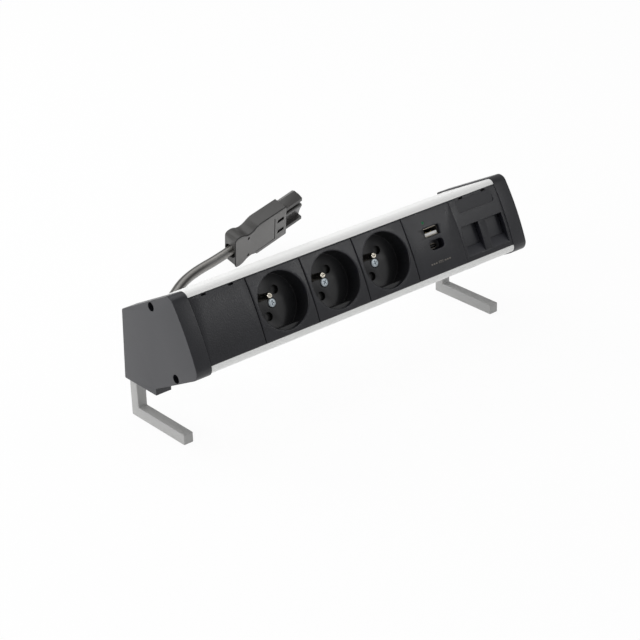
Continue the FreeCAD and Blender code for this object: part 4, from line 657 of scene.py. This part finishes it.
def socket_front(number):
    mesh = bmesh.new()
    recess(mesh)
    follow_crown(mesh)
    for side in (-1, 1):
        x, y = on_socket(PIN_HALF_PITCH * side, 0)
        floor_hole(mesh, x, y, PIN_HOLE, round_steps(0.0003, 2) + [(0, 0.0022)])
    x, y = on_socket(0, EARTH_OFFSET)
    floor_hole(mesh, x, y, EARTH_SEAT, [(0.0002, 0.0002), (0, 0.002)])
    close_ring(mesh, floor_hole(mesh, 0, 0, SCREW_SEAT, [(0.0002, 0.0002), (0, 0.0008)]))
    on_floor = edges_where(
        mesh,
        lambda e: e.is_boundary and all(abs(v.co.z - RECESS_FLOOR) < 1e-6 for v in e.verts),
    )
    fill(mesh, on_floor)
    for face in mesh.faces:
        middle = face.calc_center_median()
        if middle.z < -0.0012 and middle.xy.length < RECESS_WIDTH / 2 + 0.0003:
            face.material_index = 1
        # The walls below the floor, in the pin holes and round the screw, are painted near black
        # as shade.
        if middle.z < RECESS_FLOOR - 0.0001:
            face.material_index = 2
    finish_piece(
        f"socket_{number}_face", mesh, plate_matrix(number),
        [charcoal, recess_black, pin_hole_painted_shade], f"socket_{number}_front",
    )


def turned(mesh, outline, steps):
    """A turned shape with an outline of (radius, z) points."""
    verts = [mesh.verts.new((radius, 0, z)) for radius, z in outline]
    edges = [mesh.edges.new(pair) for pair in zip(verts, verts[1:])]
    bmesh.ops.spin(
        mesh, geom=verts + edges, cent=(0, 0, 0), axis=(0, 0, 1), angle=math.tau, steps=steps,
        use_merge=True,
    )


def earth_pin(number):
    """A turned pin with a domed tip and the lathe's centre mark."""
    mesh = bmesh.new()
    tip = CROWN - 0.0005
    outline = [
        (0.0005, tip - 0.0009), (0.0005, tip - 0.0001), (0.0009, tip), (0.0014, tip - 0.0003),
        (0.0019, tip - 0.0009), (0.0022, tip - 0.0016), (0.0024, tip - 0.0027), (0.0024, -0.0166),
    ]
    turned(mesh, outline, 40)
    mark = edges_where(mesh, lambda e: e.is_boundary and e.verts[0].co.z > -0.005)
    root = edges_where(mesh, lambda e: e.is_boundary and e.verts[0].co.z < -0.01)
    for edges in (mark, root):
        bmesh.ops.contextual_create(mesh, geom=edges)
    x, y = on_socket(0, EARTH_OFFSET)
    finish_piece(
        f"socket_{number}_pin", mesh, plate_matrix(number) @ Matrix.Translation((x, y, 0)),
        [pin_nickel], f"socket_{number}_earth_pin", 50,
    )


def closed_line(mesh, corners, z=0.0):
    """A closed line through (x, y) corners."""
    verts = [mesh.verts.new((x, y, z)) for x, y in corners]
    return {"edges": [mesh.edges.new(pair) for pair in zip(verts, verts[1:] + verts[:1])]}


def cross_screw(number):
    """A pan head with a cross recess, on its shank."""
    mesh = bmesh.new()
    top = RECESS_FLOOR + 0.0009
    edge = ring(mesh, 0, 0, SCREW_HEAD, SCREW_HEAD, SCREW_HEAD / 2, top, 40)
    arm, half = 0.0017, 0.00042
    cross = closed_line(mesh, [
        (half, arm), (half, half), (arm, half), (arm, -half), (half, -half), (half, -arm),
        (-half, -arm), (-half, -half), (-arm, -half), (-arm, half), (-half, half), (-half, arm),
    ], top)
    fill(mesh, edges_of([edge, cross]))
    low = new_verts(bmesh.ops.extrude_edge_only(mesh, edges=cross["edges"]))
    for vert in low:
        vert.co = Vector((vert.co.x * 0.55, vert.co.y * 0.55, top - 0.0009))
    bmesh.ops.contextual_create(mesh, geom=edges_between(mesh, low))
    head = [(-0.0003, 0.00008), (-0.00025, 0.0002), (-0.0001, 0.0003), (0, 0.0009)]
    shank = [(0.0016, 0), (0, 0.008)]
    close_ring(mesh, steps_down(mesh, edge, head + shank))
    turn = Matrix.Rotation(0.35 + number, 3, "Z")
    bmesh.ops.rotate(mesh, verts=mesh.verts, cent=(0, 0, 0), matrix=turn)
    finish_piece(
        f"socket_{number}_middle_screw", mesh, plate_matrix(number), [zinc_plate],
        f"socket_{number}_screw", 40,
    )


recess_black = grained(
    "recess_black", (0.0068, 0.0069, 0.0085), 0.42, scale=900, contrast=0.5, bump=0.15
)
# Near black painted shade for the walls down in the holes.
pin_hole_painted_shade = grained("pin_hole_painted_shade", (0.002, 0.002, 0.002), 0.6, scale=900, contrast=0.3, bump=0.05)
pin_nickel = grained(
    "pin_nickel", (0.62, 0.58, 0.5), 0.22, scale=900, contrast=0.15, bump=0.02, metallic=1.0
)
base_black = grained("base_black", (0.03, 0.03, 0.03), 0.5, scale=900, contrast=0.3, bump=0.1)
shutter_black = grained(
    "shutter_black", (0.018, 0.018, 0.018), 0.45, scale=900, contrast=0.3, bump=0.1
)
sleeve_brass = grained(
    "sleeve_brass", (0.72, 0.56, 0.28), 0.3, scale=900, contrast=0.1, bump=0.02, metallic=1.0
)
for number in (1, 2, 3):
    socket_front(number)
    earth_pin(number)
    cross_screw(number)
    dress([f"socket_{number}_base"], base_black)
    dress([f"socket_{number}_shutter"], shutter_black)
    dress([f"socket_{number}_contacts"], sleeve_brass)


# The charger: the same charcoal front with a large and a small port, a green lamp and a
# printed mark. The metal shells and the white tongue sit on the board behind it.
CHARGER = 4
CHARGER_WIDTH = 0.0447
LARGE_PORT = (-0.0001, 0.0073)
SMALL_PORT = (0.0003, -0.0030)
LAMP_SPOT = (-0.0053, 0.0145)
CONTACT_PITCH = 0.0023
MARK_SPOT = (-0.0005, -0.0146)
PRINT_LIFT = 0.00003


def charger_front():
    mesh = bmesh.new()
    large = ring(mesh, *LARGE_PORT, 0.0145, 0.0070, 0.0006, steps=24)
    small = ring(mesh, 0.0006, -0.0023, 0.0134, 0.0074, 0.0032, steps=40)
    lamp_hole = ring(mesh, *LAMP_SPOT, 0.0025, 0.0025, 0.00125, steps=24)
    front_frame(mesh, [large, small, lamp_hole], CHARGER_WIDTH, middle=0.0001, rounding=0.0002)
    steps_down(mesh, large, round_steps(0.0002, 2) + [(0, 0.0028)])
    steps_down(mesh, lamp_hole, [(0.0001, 0.0001), (0, 0.001)])
    wall = steps_down(mesh, small, round_steps(0.0003) + [(0, 0.0016), (0, 0)])
    for vert in verts_of(wall):
        vert.co.z = -0.0045
    floor = steps_down(mesh, wall, [(0.0002, 0.0003), (0.0003, 0.0002)])
    slit = ring(mesh, *SMALL_PORT, 0.0091, 0.0034, 0.0016, -0.005, 40)
    fill(mesh, edges_of([floor, slit]))
    follow_crown(mesh)
    finish_piece(
        "charger_face", mesh, plate_matrix(CHARGER), [charcoal], "usb_front"
    )


def port_shell(name, loop, wall, front, depth, stands_for, metal):
    """A port's shell: folded sheet metal, open at the front."""
    mesh = bmesh.new()
    outer = ring(mesh, *loop, front)
    inner = step(mesh, outer, wall, 0)
    rim = set(mesh.faces)
    close_ring(mesh, step(mesh, inner, 0, depth))
    # The rim keeps the metal; the faces inside get a near-black finish, painted shade.
    for face in mesh.faces:
        face.material_index = 0 if face in rim else 1
    close_ring(mesh, step(mesh, outer, 0, depth + 0.0004))
    finish_piece(
        name, mesh, plate_matrix(CHARGER), [metal, port_inside_painted_shade], stands_for
    )


def block(size, centre, rounding):
    """A small block with rounded edges."""
    mesh = bmesh.new()
    bmesh.ops.create_cube(mesh, size=1)
    bmesh.ops.scale(mesh, verts=mesh.verts, vec=size)
    bmesh.ops.translate(mesh, verts=mesh.verts, vec=centre)
    bevel_edges(mesh, mesh.edges[:], rounding, 2)
    return mesh


def port_tongue():
    """The white tongue of the large port, with four gilt contacts on its underside."""
    middle = LARGE_PORT[0]
    finish_piece(
        "port_tongue", block((0.0110, 0.0020, 0.0125), (middle, 0.00587, -0.00695), 0.0002),
        plate_matrix(CHARGER), [tongue_white], "usb_a_tongue",
    )
    for number in range(4):
        spot = (middle + CONTACT_PITCH * (number - 1.5), 0.00689, -0.0080)
        finish_piece(
            f"port_contact_{number + 1}", block((0.0012, 0.00025, 0.0080), spot, 0.00005),
            plate_matrix(CHARGER), [contact_gold], None,
        )


def power_lamp():
    mesh = bmesh.new()
    rim = ring(mesh, 0, 0, 0.0022, 0.0022, 0.0011, -0.0001, 24)
    dome = steps_down(mesh, rim, [(0.0003, -0.00015), (0.0003, -0.0001), (0.0003, -0.00005)])
    close_ring(mesh, dome)
    step(mesh, rim, 0, 0.017)
    lift = Matrix.Translation((*LAMP_SPOT, crown_at(LAMP_SPOT[1])))
    finish_piece(
        "power_lamp", mesh, plate_matrix(CHARGER) @ lift, [lamp_green], "usb_light_pipe",
        60,
    )


def printed_mark():
    """A direct-current sign, a line over three dashes, in a row of short printed bars."""
    bars = [(0, 0.0005, 0.0042, 0.00045)]
    bars += [(0.0016 * n, -0.0005, 0.0010, 0.00045) for n in (-1, 0, 1)]
    for side in (-1, 1):
        bars += [(side * (0.0042 + 0.0021 * n), 0, 0.0014, 0.0011) for n in range(3)]
    for number, (x, y, width, height) in enumerate(bars, start=1):
        mesh = bmesh.new()
        bmesh.ops.create_grid(mesh, x_segments=1, y_segments=1, size=0.5)
        bmesh.ops.scale(mesh, verts=mesh.verts, vec=(width, height, 1))
        x, y = MARK_SPOT[0] + x, MARK_SPOT[1] + y
        lift = Matrix.Translation((x, y, crown_at(y) + PRINT_LIFT))
        finish_piece(
            f"printed_mark_{number}", mesh, plate_matrix(CHARGER) @ lift, [print_grey], None,
        )


port_metal = grained(
    "port_metal", (0.4, 0.36, 0.3), 0.3, scale=900, contrast=0.2, bump=0.02, metallic=1.0
)
# A darker copy of the port metal for the sunken small port's shell: painted shade.
small_port_painted_shade = grained(
    "small_port_painted_shade", (0.1, 0.09, 0.075), 0.35, scale=900, contrast=0.2, bump=0.02, metallic=1.0
)
# Painted shade for the insides of the port shells.
port_inside_painted_shade = grained(
    "port_inside_painted_shade", (0.03, 0.029, 0.028), 0.4, scale=900, contrast=0.3, bump=0.05, metallic=0.3
)
tongue_white = grained(
    "tongue_white", (0.95, 0.95, 0.93), 0.35, scale=900, contrast=0.05, bump=0.02
)
contact_gold = grained(
    "contact_gold", (0.75, 0.6, 0.3), 0.25, scale=900, contrast=0.1, bump=0.02, metallic=1.0
)
lamp_green = principled("lamp_green", (0.01, 0.12, 0.045), 0.1)
print_grey = grained("print_grey", (0.16, 0.145, 0.125), 0.55, scale=2000, contrast=0.3, bump=0.02)
board_green = grained("board_green", (0.03, 0.16, 0.07), 0.4, scale=500, contrast=0.3, bump=0.05)
coil_brown = grained("coil_brown", (0.1, 0.09, 0.07), 0.5, scale=500, contrast=0.3, bump=0.05)
charger_front()
port_shell(
    "large_port_shell", (*LARGE_PORT, 0.0132, 0.0057, 0.0005), wall=0.00028, front=-0.0008,
    depth=0.013, stands_for="usb_a_shell", metal=port_metal,
)
port_shell(
    "small_port_shell", (*SMALL_PORT, 0.0089, 0.0032, 0.0015), wall=0.0003, front=-0.0044,
    depth=0.0095, stands_for="usb_c_shell", metal=small_port_painted_shade,
)
port_tongue()
power_lamp()
printed_mark()
dress(["usb_housing", "usb_c_tongue"], base_black)
dress(["usb_circuit_board"], board_green)
dress(["usb_transformer"], coil_brown)


# The data plate: a label window over two outlets, each with a ramp at its lower edge.
# A sprung dust cover closes each outlet and slides down for a plug.
DATA = 5
DATA_WIDTH = 0.045
OUTLET_OFFSET = 0.0115
RAMP_WIDTH = 0.0163
RAMP_FRONT = -0.0189
RAMP_FLOOR = -0.0032
COVER_FRONT = -0.0034


def data_face():
    mesh = bmesh.new()
    window = ring(mesh, 0, 0.0161, 0.0345, 0.0090, 0.0020)
    outlets = [
        ring(mesh, OUTLET_OFFSET * side, -0.00845, 0.0167, 0.0217, 0.0005, steps=16)
        for side in (-1, 1)
    ]
    front_frame(mesh, [window] + notches(mesh) + outlets, DATA_WIDTH, rounding=0.0001)
    low = steps_down(mesh, window, [(0.0001, 0.0001), (0, 0.0006), (0.0001, 0.0001)])
    close_ring(mesh, low)
    for loop in outlets:
        steps_down(mesh, loop, round_steps(0.0002, 2) + [(0, 0.0026)])
    follow_crown(mesh)
    finish_piece("data_face", mesh, plate_matrix(DATA), [charcoal], "data_front")


def data_ramp(side, word):
    """The ramp under an outlet, which the dust cover passes behind."""
    mesh = bmesh.new()
    front = crown_at(RAMP_FRONT) - 0.0002
    outline = [
        (-0.0124, RAMP_FLOOR + 0.0005), (-0.0126, RAMP_FLOOR), (-0.0197, RAMP_FLOOR),
        (-0.0197, front - 0.0006), (-0.0191, front),
    ]
    prism(mesh, outline, RAMP_WIDTH, OUTLET_OFFSET * side - RAMP_WIDTH / 2)
    bevel_edges(mesh, edges_where(mesh, runs_along_x), 0.0002, 2)
    finish_piece(
        f"data_ramp_{word}", mesh, plate_matrix(DATA), [ramp_painted_light], None
    )


def dust_cover(side, word):
    mesh = bmesh.new()
    rim = ring(mesh, OUTLET_OFFSET * side, -0.0052, 0.0171, 0.0156, 0.0004, COVER_FRONT, 16)
    fill(mesh, edges_of([step(mesh, rim, 0.0002, -0.00005)]))
    close_ring(mesh, step(mesh, rim, 0, 0.0015))
    finish_piece(
        f"dust_cover_{word}", mesh, plate_matrix(DATA), [cover_black], f"data_cover_{word}",
        body=f"cover_{word}",
    )


# The ramps are a lighter copy of the black plastic, painted light where they face up.
ramp_painted_light = grained("ramp_painted_light", (0.023, 0.0238, 0.03), 0.4, scale=1600, contrast=0.6, bump=0.25)
# The dust covers are a lighter copy of the black plastic, painted light that offsets their shade
# down in the outlets.
cover_black = grained(
    "cover_black", (0.018, 0.0187, 0.0235), 0.42, scale=1600, contrast=0.6, bump=0.25
)
label_smoke = grained(
    "label_smoke", (0.0075, 0.0079, 0.0118), 0.38, scale=1200, contrast=0.9, bump=0.4
)
data_face()
for make in (data_ramp, dust_cover):
    make(-1, "left")
    make(1, "right")
dress(["data_label_cover"], label_smoke)
dress(["data_frame"], base_black)


# The wires and the terminal block, which the profile hides: three cores in coloured
# sheaths that run behind the inserts, and a moulded block that joins them to the lead.
for node, name, colour in (
    ("wire_live", "wire_brown", (0.2, 0.09, 0.04)),
    ("wire_neutral", "wire_blue", (0.05, 0.15, 0.5)),
    ("wire_earth", "wire_green", (0.15, 0.4, 0.08)),
):
    dress([node], grained(name, colour, 0.4, scale=900, contrast=0.1, bump=0.02))
dress(["terminal_block"], base_black)


# The gland: a black nylon nut on the back wall with a tapered, ribbed sleeve that keeps
# the lead from bending sharply where it leaves.
GLAND_X = -0.101
GLAND_RADIUS = 0.0110
GLAND_NUT = 0.0046
RIBS = 6
RIB_PITCH = 0.0027
RIB_TAPER = 0.00037


def lead_gland():
    """The round body with its ribs, turned in one."""
    mesh = bmesh.new()
    out = -PROFILE_DEPTH
    outline = [
        (0.0040, out + 0.0002), (0.0062, out + 0.0002), (0.0062, out), (GLAND_RADIUS, out),
        (GLAND_RADIUS, out - GLAND_NUT), (0.0104, out - 0.0052), (0.0078, out - 0.0056),
    ]
    for n in range(RIBS):
        along = out - 0.0062 - RIB_PITCH * n
        radius = 0.0074 - RIB_TAPER * n
        outline += [
            (radius, along), (radius - 0.0001, along - 0.0016),
            (radius - 0.0008, along - 0.0018), (radius - 0.0008, along - 0.0025),
        ]
    outline += [(0.0053, out - 0.0234), (0.0051, out - 0.0240), (0.0040, out - 0.0240)]
    turned(mesh, outline, 48)
    place = SLANT @ Matrix.Translation((GLAND_X, 0, 0))
    finish_piece("lead_gland", mesh, place, [gland_nylon], "cord_gland", 30)


def gland_hexagon():
    """The six flats for a spanner."""
    mesh = bmesh.new()
    bmesh.ops.create_circle(mesh, segments=6, radius=GLAND_RADIUS, cap_ends=True)
    grown = bmesh.ops.extrude_face_region(mesh, geom=mesh.faces[:])
    bmesh.ops.translate(mesh, verts=new_verts(grown), vec=(0, 0, -GLAND_NUT))
    bevel_edges(mesh, mesh.edges[:], EDGE_ROUNDING, 2)
    bmesh.ops.scale(mesh, verts=mesh.verts, vec=(0.999, 0.999, 1))
    place = SLANT @ Matrix.Translation((GLAND_X, 0, -PROFILE_DEPTH - 0.0001))
    finish_piece("gland_hexagon", mesh, place, [gland_nylon], None, 30)


gland_nylon = grained(
    "gland_nylon", (0.035, 0.035, 0.035), 0.42, scale=900, contrast=0.3, bump=0.1
)
lead_gland()
gland_hexagon()
dress(["gland_lock_nut"], gland_nylon)


# The connector: a grey-black housing, moulded in two shells and clipped together, with a
# collar round the lead, a waist behind it and a thin lid on its near side.
CONNECTOR = (
    Matrix.Translation((0.0517, 0.1768, 0))
    @ Matrix.Rotation(math.radians(1.6), 4, "Z")
    @ Matrix.Rotation(math.radians(-14), 4, "Y")
    @ Matrix.Rotation(math.radians(20), 4, "X")
)
SHELL_THICKNESS = 0.013
SEAM_DEPTHS = (0.0005, 0.001)
NOSE_ROOT = 0.0524
NOSE_TIP = 0.0708
# Corners of the housing as (x, y, rounding), in millimetres.
SHELL_OUTLINE = [
    (0, 0, 2.8), (7.0, 0, 2.4), (11.4, 2.9, 2.0), (16.6, 3.4, 2.0), (21.9, 1.2, 0.3),
    (22.7, 0, 0.3), (53.4, 0, 0.4), (53.4, 30, 0.4), (25.0, 30.6, 2.6), (18.0, 27.0, 2.4),
    (12.6, 26.9, 2.2), (7.2, 30.7, 2.6), (0, 30.7, 3.2),
]
LID_GROOVE = [
    (0.04075, 0.0263), (0.04145, 0.0263), (0.04145, 0.0032), (0.0207, 0.0032),
    (0.0207, 0.0037), (0.04075, 0.0037),
]
NOSE_OUTLINE = [
    (0.0092, 0.0298), (0.0116, 0.0284), (0.0116, 0.0253), (0.0102, 0.0253), (0.0102, 0.0046),
    (0.0003, 0.0046), (0.0003, 0.0075), (0.0036, 0.0078), (0.0033, 0.0098), (0.0028, 0.0122),
    (0.0021, 0.0147), (0.0012, 0.0172), (0.0004, 0.0194), (0.0004, 0.0210), (0.0010, 0.0216),
    (0.0042, 0.0216), (0.0042, 0.0250), (0.0003, 0.0253), (0.0003, 0.0284), (0.0041, 0.0298),
]


def sink(mesh, loop, depth):
    """Walls and a floor below a closed line, in the near-black painted shade."""
    low = new_verts(bmesh.ops.extrude_edge_only(mesh, edges=loop["edges"]))
    bmesh.ops.translate(mesh, verts=low, vec=(0, 0, -depth))
    fill(mesh, edges_between(mesh, low))
    for vert in low:
        for face in vert.link_faces:
            face.material_index = 1


def turn_new(mesh, known, turn, place):
    """Turn and move what has been added to a mesh, from the flat to a wall of it."""
    added = [vert for vert in mesh.verts if vert not in known]
    bmesh.ops.rotate(mesh, verts=added, cent=(0, 0, 0), matrix=turn)
    bmesh.ops.translate(mesh, verts=added, vec=place)


def shell_body(mesh):
    """The housing's outline as a plate, its edges rounded, and the seam cut round it."""
    verts = [mesh.verts.new((x / 1000, y / 1000, 0)) for x, y, rounding in SHELL_OUTLINE]
    mesh.faces.new(verts)
    for vert, (x, y, rounding) in zip(verts, SHELL_OUTLINE):
        round_corners(mesh, [vert], rounding / 1000, 7)
    grown = bmesh.ops.extrude_face_region(mesh, geom=mesh.faces[:])
    bmesh.ops.translate(mesh, verts=new_verts(grown), vec=(0, 0, -SHELL_THICKNESS))
    near = edges_where(mesh, lambda e: all(abs(v.co.z) < 1e-7 for v in e.verts))
    far = edges_where(mesh, lambda e: all(abs(v.co.z + SHELL_THICKNESS) < 1e-7 for v in e.verts))
    bevel_edges(mesh, near, 0.00018, 2)
    bevel_edges(mesh, far, 0.0006, 3)
    for depth in SEAM_DEPTHS:
        bmesh.ops.bisect_plane(
            mesh, geom=mesh.verts[:] + mesh.edges[:] + mesh.faces[:], dist=1e-8,
            plane_co=(0, 0, -depth), plane_no=(0, 0, 1),
        )
    middle = sum(SEAM_DEPTHS) / 2
    seam = [f for f in mesh.faces if abs(f.calc_center_median().z + middle) < 0.0002]
    walls = bmesh.ops.inset_region(
        mesh, faces=seam, thickness=0.00001, depth=-0.0006, use_even_offset=True,
        use_boundary=True,
    )
    # The seam groove is painted near black as shade.
    for face in seam + walls["faces"]:
        face.material_index = 1


def shell_near_side(mesh):
    """The lid with its groove, the two latch slots and the two pin marks."""
    groove = closed_line(mesh, LID_GROOVE)
    latches = [
        closed_line(mesh, [
            (0.0437, y - 0.0017), (0.0445, y + 0.0016), (0.0508, y + 0.0016), (0.0508, y - 0.0015),
        ])
        for y in (0.0204, 0.0088)
    ]
    pin_marks = []
    for x, y in ((0.0134, 0.0242), (0.0128, 0.0056)):
        known = set(mesh.verts)
        pin_marks.append(ring(mesh, 0, 0, 0.0019, 0.0028, 0.0009, steps=16))
        turn_new(mesh, known, Matrix.Rotation(math.radians(-25), 3, "Z"), (x, y, 0))
    open_wall(mesh, lambda co: abs(co.z) < 1e-7, [groove] + latches + pin_marks, (0, 0, 1))
    sink(mesh, groove, 0.0008)
    for latch in latches:
        sink(mesh, latch, 0.0050)
    for mark in pin_marks:
        sink(mesh, mark, 0.0024)
    # The flat near side gets a lighter copy of the housing grey, painted light.
    for face in mesh.faces:
        if face.material_index == 0 and face.calc_center_median().z > -0.0005:
            face.material_index = 2


def shell_rear(mesh):
    """The round mouth that the lead goes into, and the slit beside it."""
    known = set(mesh.verts)
    mouth = ring(mesh, -0.0070, 0.0142, 0.0114, 0.0136, 0.0057, steps=48)
    close_ring(mesh, steps_down(mesh, mouth, round_steps(EDGE_ROUNDING, 2) + [(0, 0.0085)]))
    slit = ring(mesh, -0.0060, 0.0036, 0.0080, 0.0005, 0.0002, steps=16)
    close_ring(mesh, step(mesh, slit, 0, 0.0010))
    # The mouth and the slit inside are painted near black as shade.
    for vert in mesh.verts:
        if vert not in known:
            for face in vert.link_faces:
                face.material_index = 1
    to_rear = Matrix(((0, 0, -1), (0, 1, 0), (1, 0, 0)))
    turn_new(mesh, known, to_rear, (0, 0, 0))
    open_wall(mesh, lambda co: abs(co.x) < 1e-7, [mouth, slit], (-1, 0, 0))


def connector_shells():
    """The housing, made flat: x along it, y up its side, and z out of its near side."""
    mesh = bmesh.new()
    shell_body(mesh)
    shell_near_side(mesh)
    shell_rear(mesh)
    upright = Matrix.Rotation(math.radians(90), 4, "X")
    return finish_piece(
        "connector_shells", mesh, CONNECTOR @ upright, [connector_grey, seam_painted_shade, near_side_painted_light],
        "connector_housing", 28,
    )


def connector_nose():
    """The part that goes into the outlet: a flat finger at the top, a hollowed side below
    it, and three bores with the pins in them."""
    mesh = bmesh.new()
    prism(mesh, NOSE_OUTLINE, NOSE_TIP - NOSE_ROOT, NOSE_ROOT)
    rim = edges_where(mesh, lambda e: all(abs(v.co.x - NOSE_TIP) < 1e-6 for v in e.verts))
    bevel_edges(mesh, rim, EDGE_ROUNDING, 2)
    known = set(mesh.verts)
    bores = [
        ring(mesh, 0.0065, z, 0.0036, 0.0036, 0.0018, steps=24) for z in (0.0070, 0.0172, 0.0274)
    ]
    for bore in bores:
        close_ring(mesh, steps_down(mesh, bore, [(0.0002, 0.0003), (0, 0.0117)]))
    to_tip = Matrix(((0, 0, 1), (1, 0, 0), (0, 1, 0)))
    turn_new(mesh, known, to_tip, (NOSE_TIP, 0, 0))
    open_wall(mesh, lambda co: abs(co.x - NOSE_TIP) < 1e-7, bores, (1, 0, 0))
    mesh.normal_update()
    # Faces turned to the near side get the lighter copy of the grey, painted light.
    for face in mesh.faces:
        face.material_index = 1 if face.normal.y < -0.3 and abs(face.normal.x) < 0.1 else 0
    return finish_piece(
        "connector_nose", mesh, CONNECTOR, [connector_grey, near_side_painted_light], "connector_insert",
        24,
    )


connector_grey = grained(
    "connector_grey", (0.048, 0.0465, 0.045), 0.34, scale=900, contrast=0.4, bump=0.15
)
# A lighter copy of the housing grey: painted light on the near side.
near_side_painted_light = grained("near_side_painted_light", (0.18, 0.177, 0.174), 0.5, scale=900, contrast=0.4, bump=0.15)
# Near black painted shade for the seam, slots, marks, mouth and slit.
seam_painted_shade = grained("seam_painted_shade", (0.008, 0.008, 0.008), 0.6, scale=900, contrast=0.2, bump=0.05)
shells = connector_shells()
nose = connector_nose()
dress(["connector_pins"], sleeve_brass)


# The lead: a round mains cable with a soft grey-brown sheath. It leaves the gland on the
# back wall, lies on the table behind the profile and ends in the connector.
LEAD_POINTS = [
    (-0.1010, 0.03974, 0.04796),
    (-0.1010, 0.05803, 0.03848),
    (-0.0972, 0.0753, 0.0285),
    (-0.0902, 0.0918, 0.0190),
    (-0.0803, 0.1074, 0.0110),
    (-0.0680, 0.1221, 0.0057),
    (-0.0538, 0.1358, 0.0041),
    (-0.0382, 0.1484, 0.0041),
    (-0.0217, 0.1598, 0.0052),
    (-0.0048, 0.1698, 0.0084),
    (0.0140, 0.1755, 0.0105),
    (0.0347, 0.1773, 0.0126),
    (0.0565, 0.1779, 0.0180),
]
LEAD_DIAMETER = 0.008
RIDGES = 5
RIDGE_HALF = 0.00018
SECTION_POINTS = 60
SECTION_TURN = math.radians(20)


def curve_object(name, curve):
    thing = bpy.data.objects.new(name, curve)
    scene.collection.objects.link(thing)
    return thing


def lead_section():
    """The outline of the sheath: the cores inside show as soft ridges."""
    curve = bpy.data.curves.new("lead_section", "CURVE")
    curve.dimensions = "2D"
    spline = curve.splines.new("POLY")
    spline.points.add(SECTION_POINTS - 1)
    for n, point in enumerate(spline.points):
        angle = math.tau * n / SECTION_POINTS
        radius = LEAD_DIAMETER / 2 - RIDGE_HALF * (1 - math.cos(RIDGES * angle))
        point.co = (radius * math.cos(angle), radius * math.sin(angle), 0, 1)
    spline.use_cyclic_u = True
    return curve_object("lead_section", curve)


def mark_ridges(mesh, path):
    """Keep each point's height on the ridges, 0 in a hollow and 1 on top, for the sheath's painted
    shade in the hollows and painted highlight on the ridges.
    """
    middle = kdtree.KDTree(len(path))
    for n, place in enumerate(path):
        middle.insert(place, n)
    middle.balance()
    ridge = mesh.attributes.new("ridge", "FLOAT", "POINT")
    for vert in mesh.vertices:
        hollow = LEAD_DIAMETER / 2 - middle.find(vert.co)[2]
        ridge.data[vert.index].value = max(0.0, min(1.0, 1 - hollow / (RIDGE_HALF * 2)))


lead_curve = bpy.data.curves.new("lead_line", "CURVE")
lead_curve.dimensions = "3D"
lead_curve.resolution_u = 16
lead_spline = lead_curve.splines.new("NURBS")
lead_spline.points.add(len(LEAD_POINTS) - 1)
for point, place in zip(lead_spline.points, LEAD_POINTS):
    point.co = (*place, 1)
    point.tilt = SECTION_TURN
lead_spline.order_u = 3
lead_spline.use_endpoint_u = True
lead_line = curve_object("lead_line", lead_curve)
bpy.context.view_layer.update()
line_mesh = bpy.data.meshes.new_from_object(lead_line)
lead_path = [vert.co.copy() for vert in line_mesh.vertices]
bpy.data.meshes.remove(line_mesh)

section = lead_section()
lead_curve.bevel_mode = "OBJECT"
lead_curve.bevel_object = section
lead_curve.use_fill_caps = True
bpy.context.view_layer.update()
evaluated = lead_line.evaluated_get(bpy.context.evaluated_depsgraph_get())
lead_mesh = bpy.data.meshes.new_from_object(evaluated)
lead_mesh.name = "lead"
lead_mesh.polygons.foreach_set("use_smooth", [True] * len(lead_mesh.polygons))
mark_ridges(lead_mesh, lead_path)
bpy.data.objects.remove(lead_line)
bpy.data.objects.remove(section)
lead = bpy.data.objects.new("lead", lead_mesh)
scene.collection.objects.link(lead)

lead_sheath = grained("lead_sheath", (0.12, 0.115, 0.107), 0.3, scale=700, contrast=0.4, bump=0.06)
tree = lead_sheath.node_tree
# The sheath's colour follows the ridges: painted shade in the hollows and painted highlight on top
# of the ridges.
ridge_height = tree.nodes.new("ShaderNodeAttribute")
ridge_height.attribute_name = "ridge"
sheath_painted_light = tree.nodes.new("ShaderNodeValToRGB")
hollow_painted_shade, ridge_painted_highlight = sheath_painted_light.color_ramp.elements
hollow_painted_shade.color = (0.03, 0.0285, 0.026, 1)
ridge_painted_highlight.color = (0.31, 0.3, 0.285, 1)
tree.links.new(ridge_height.outputs["Fac"], sheath_painted_light.inputs["Fac"])
tree.links.new(sheath_painted_light.outputs["Color"], tree.nodes["Group"].inputs["Colour"])
lead_mesh.materials.clear()
lead_mesh.materials.append(lead_sheath)
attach(lead, "base")
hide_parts("supply_cord")

bpy.context.view_layer.update()
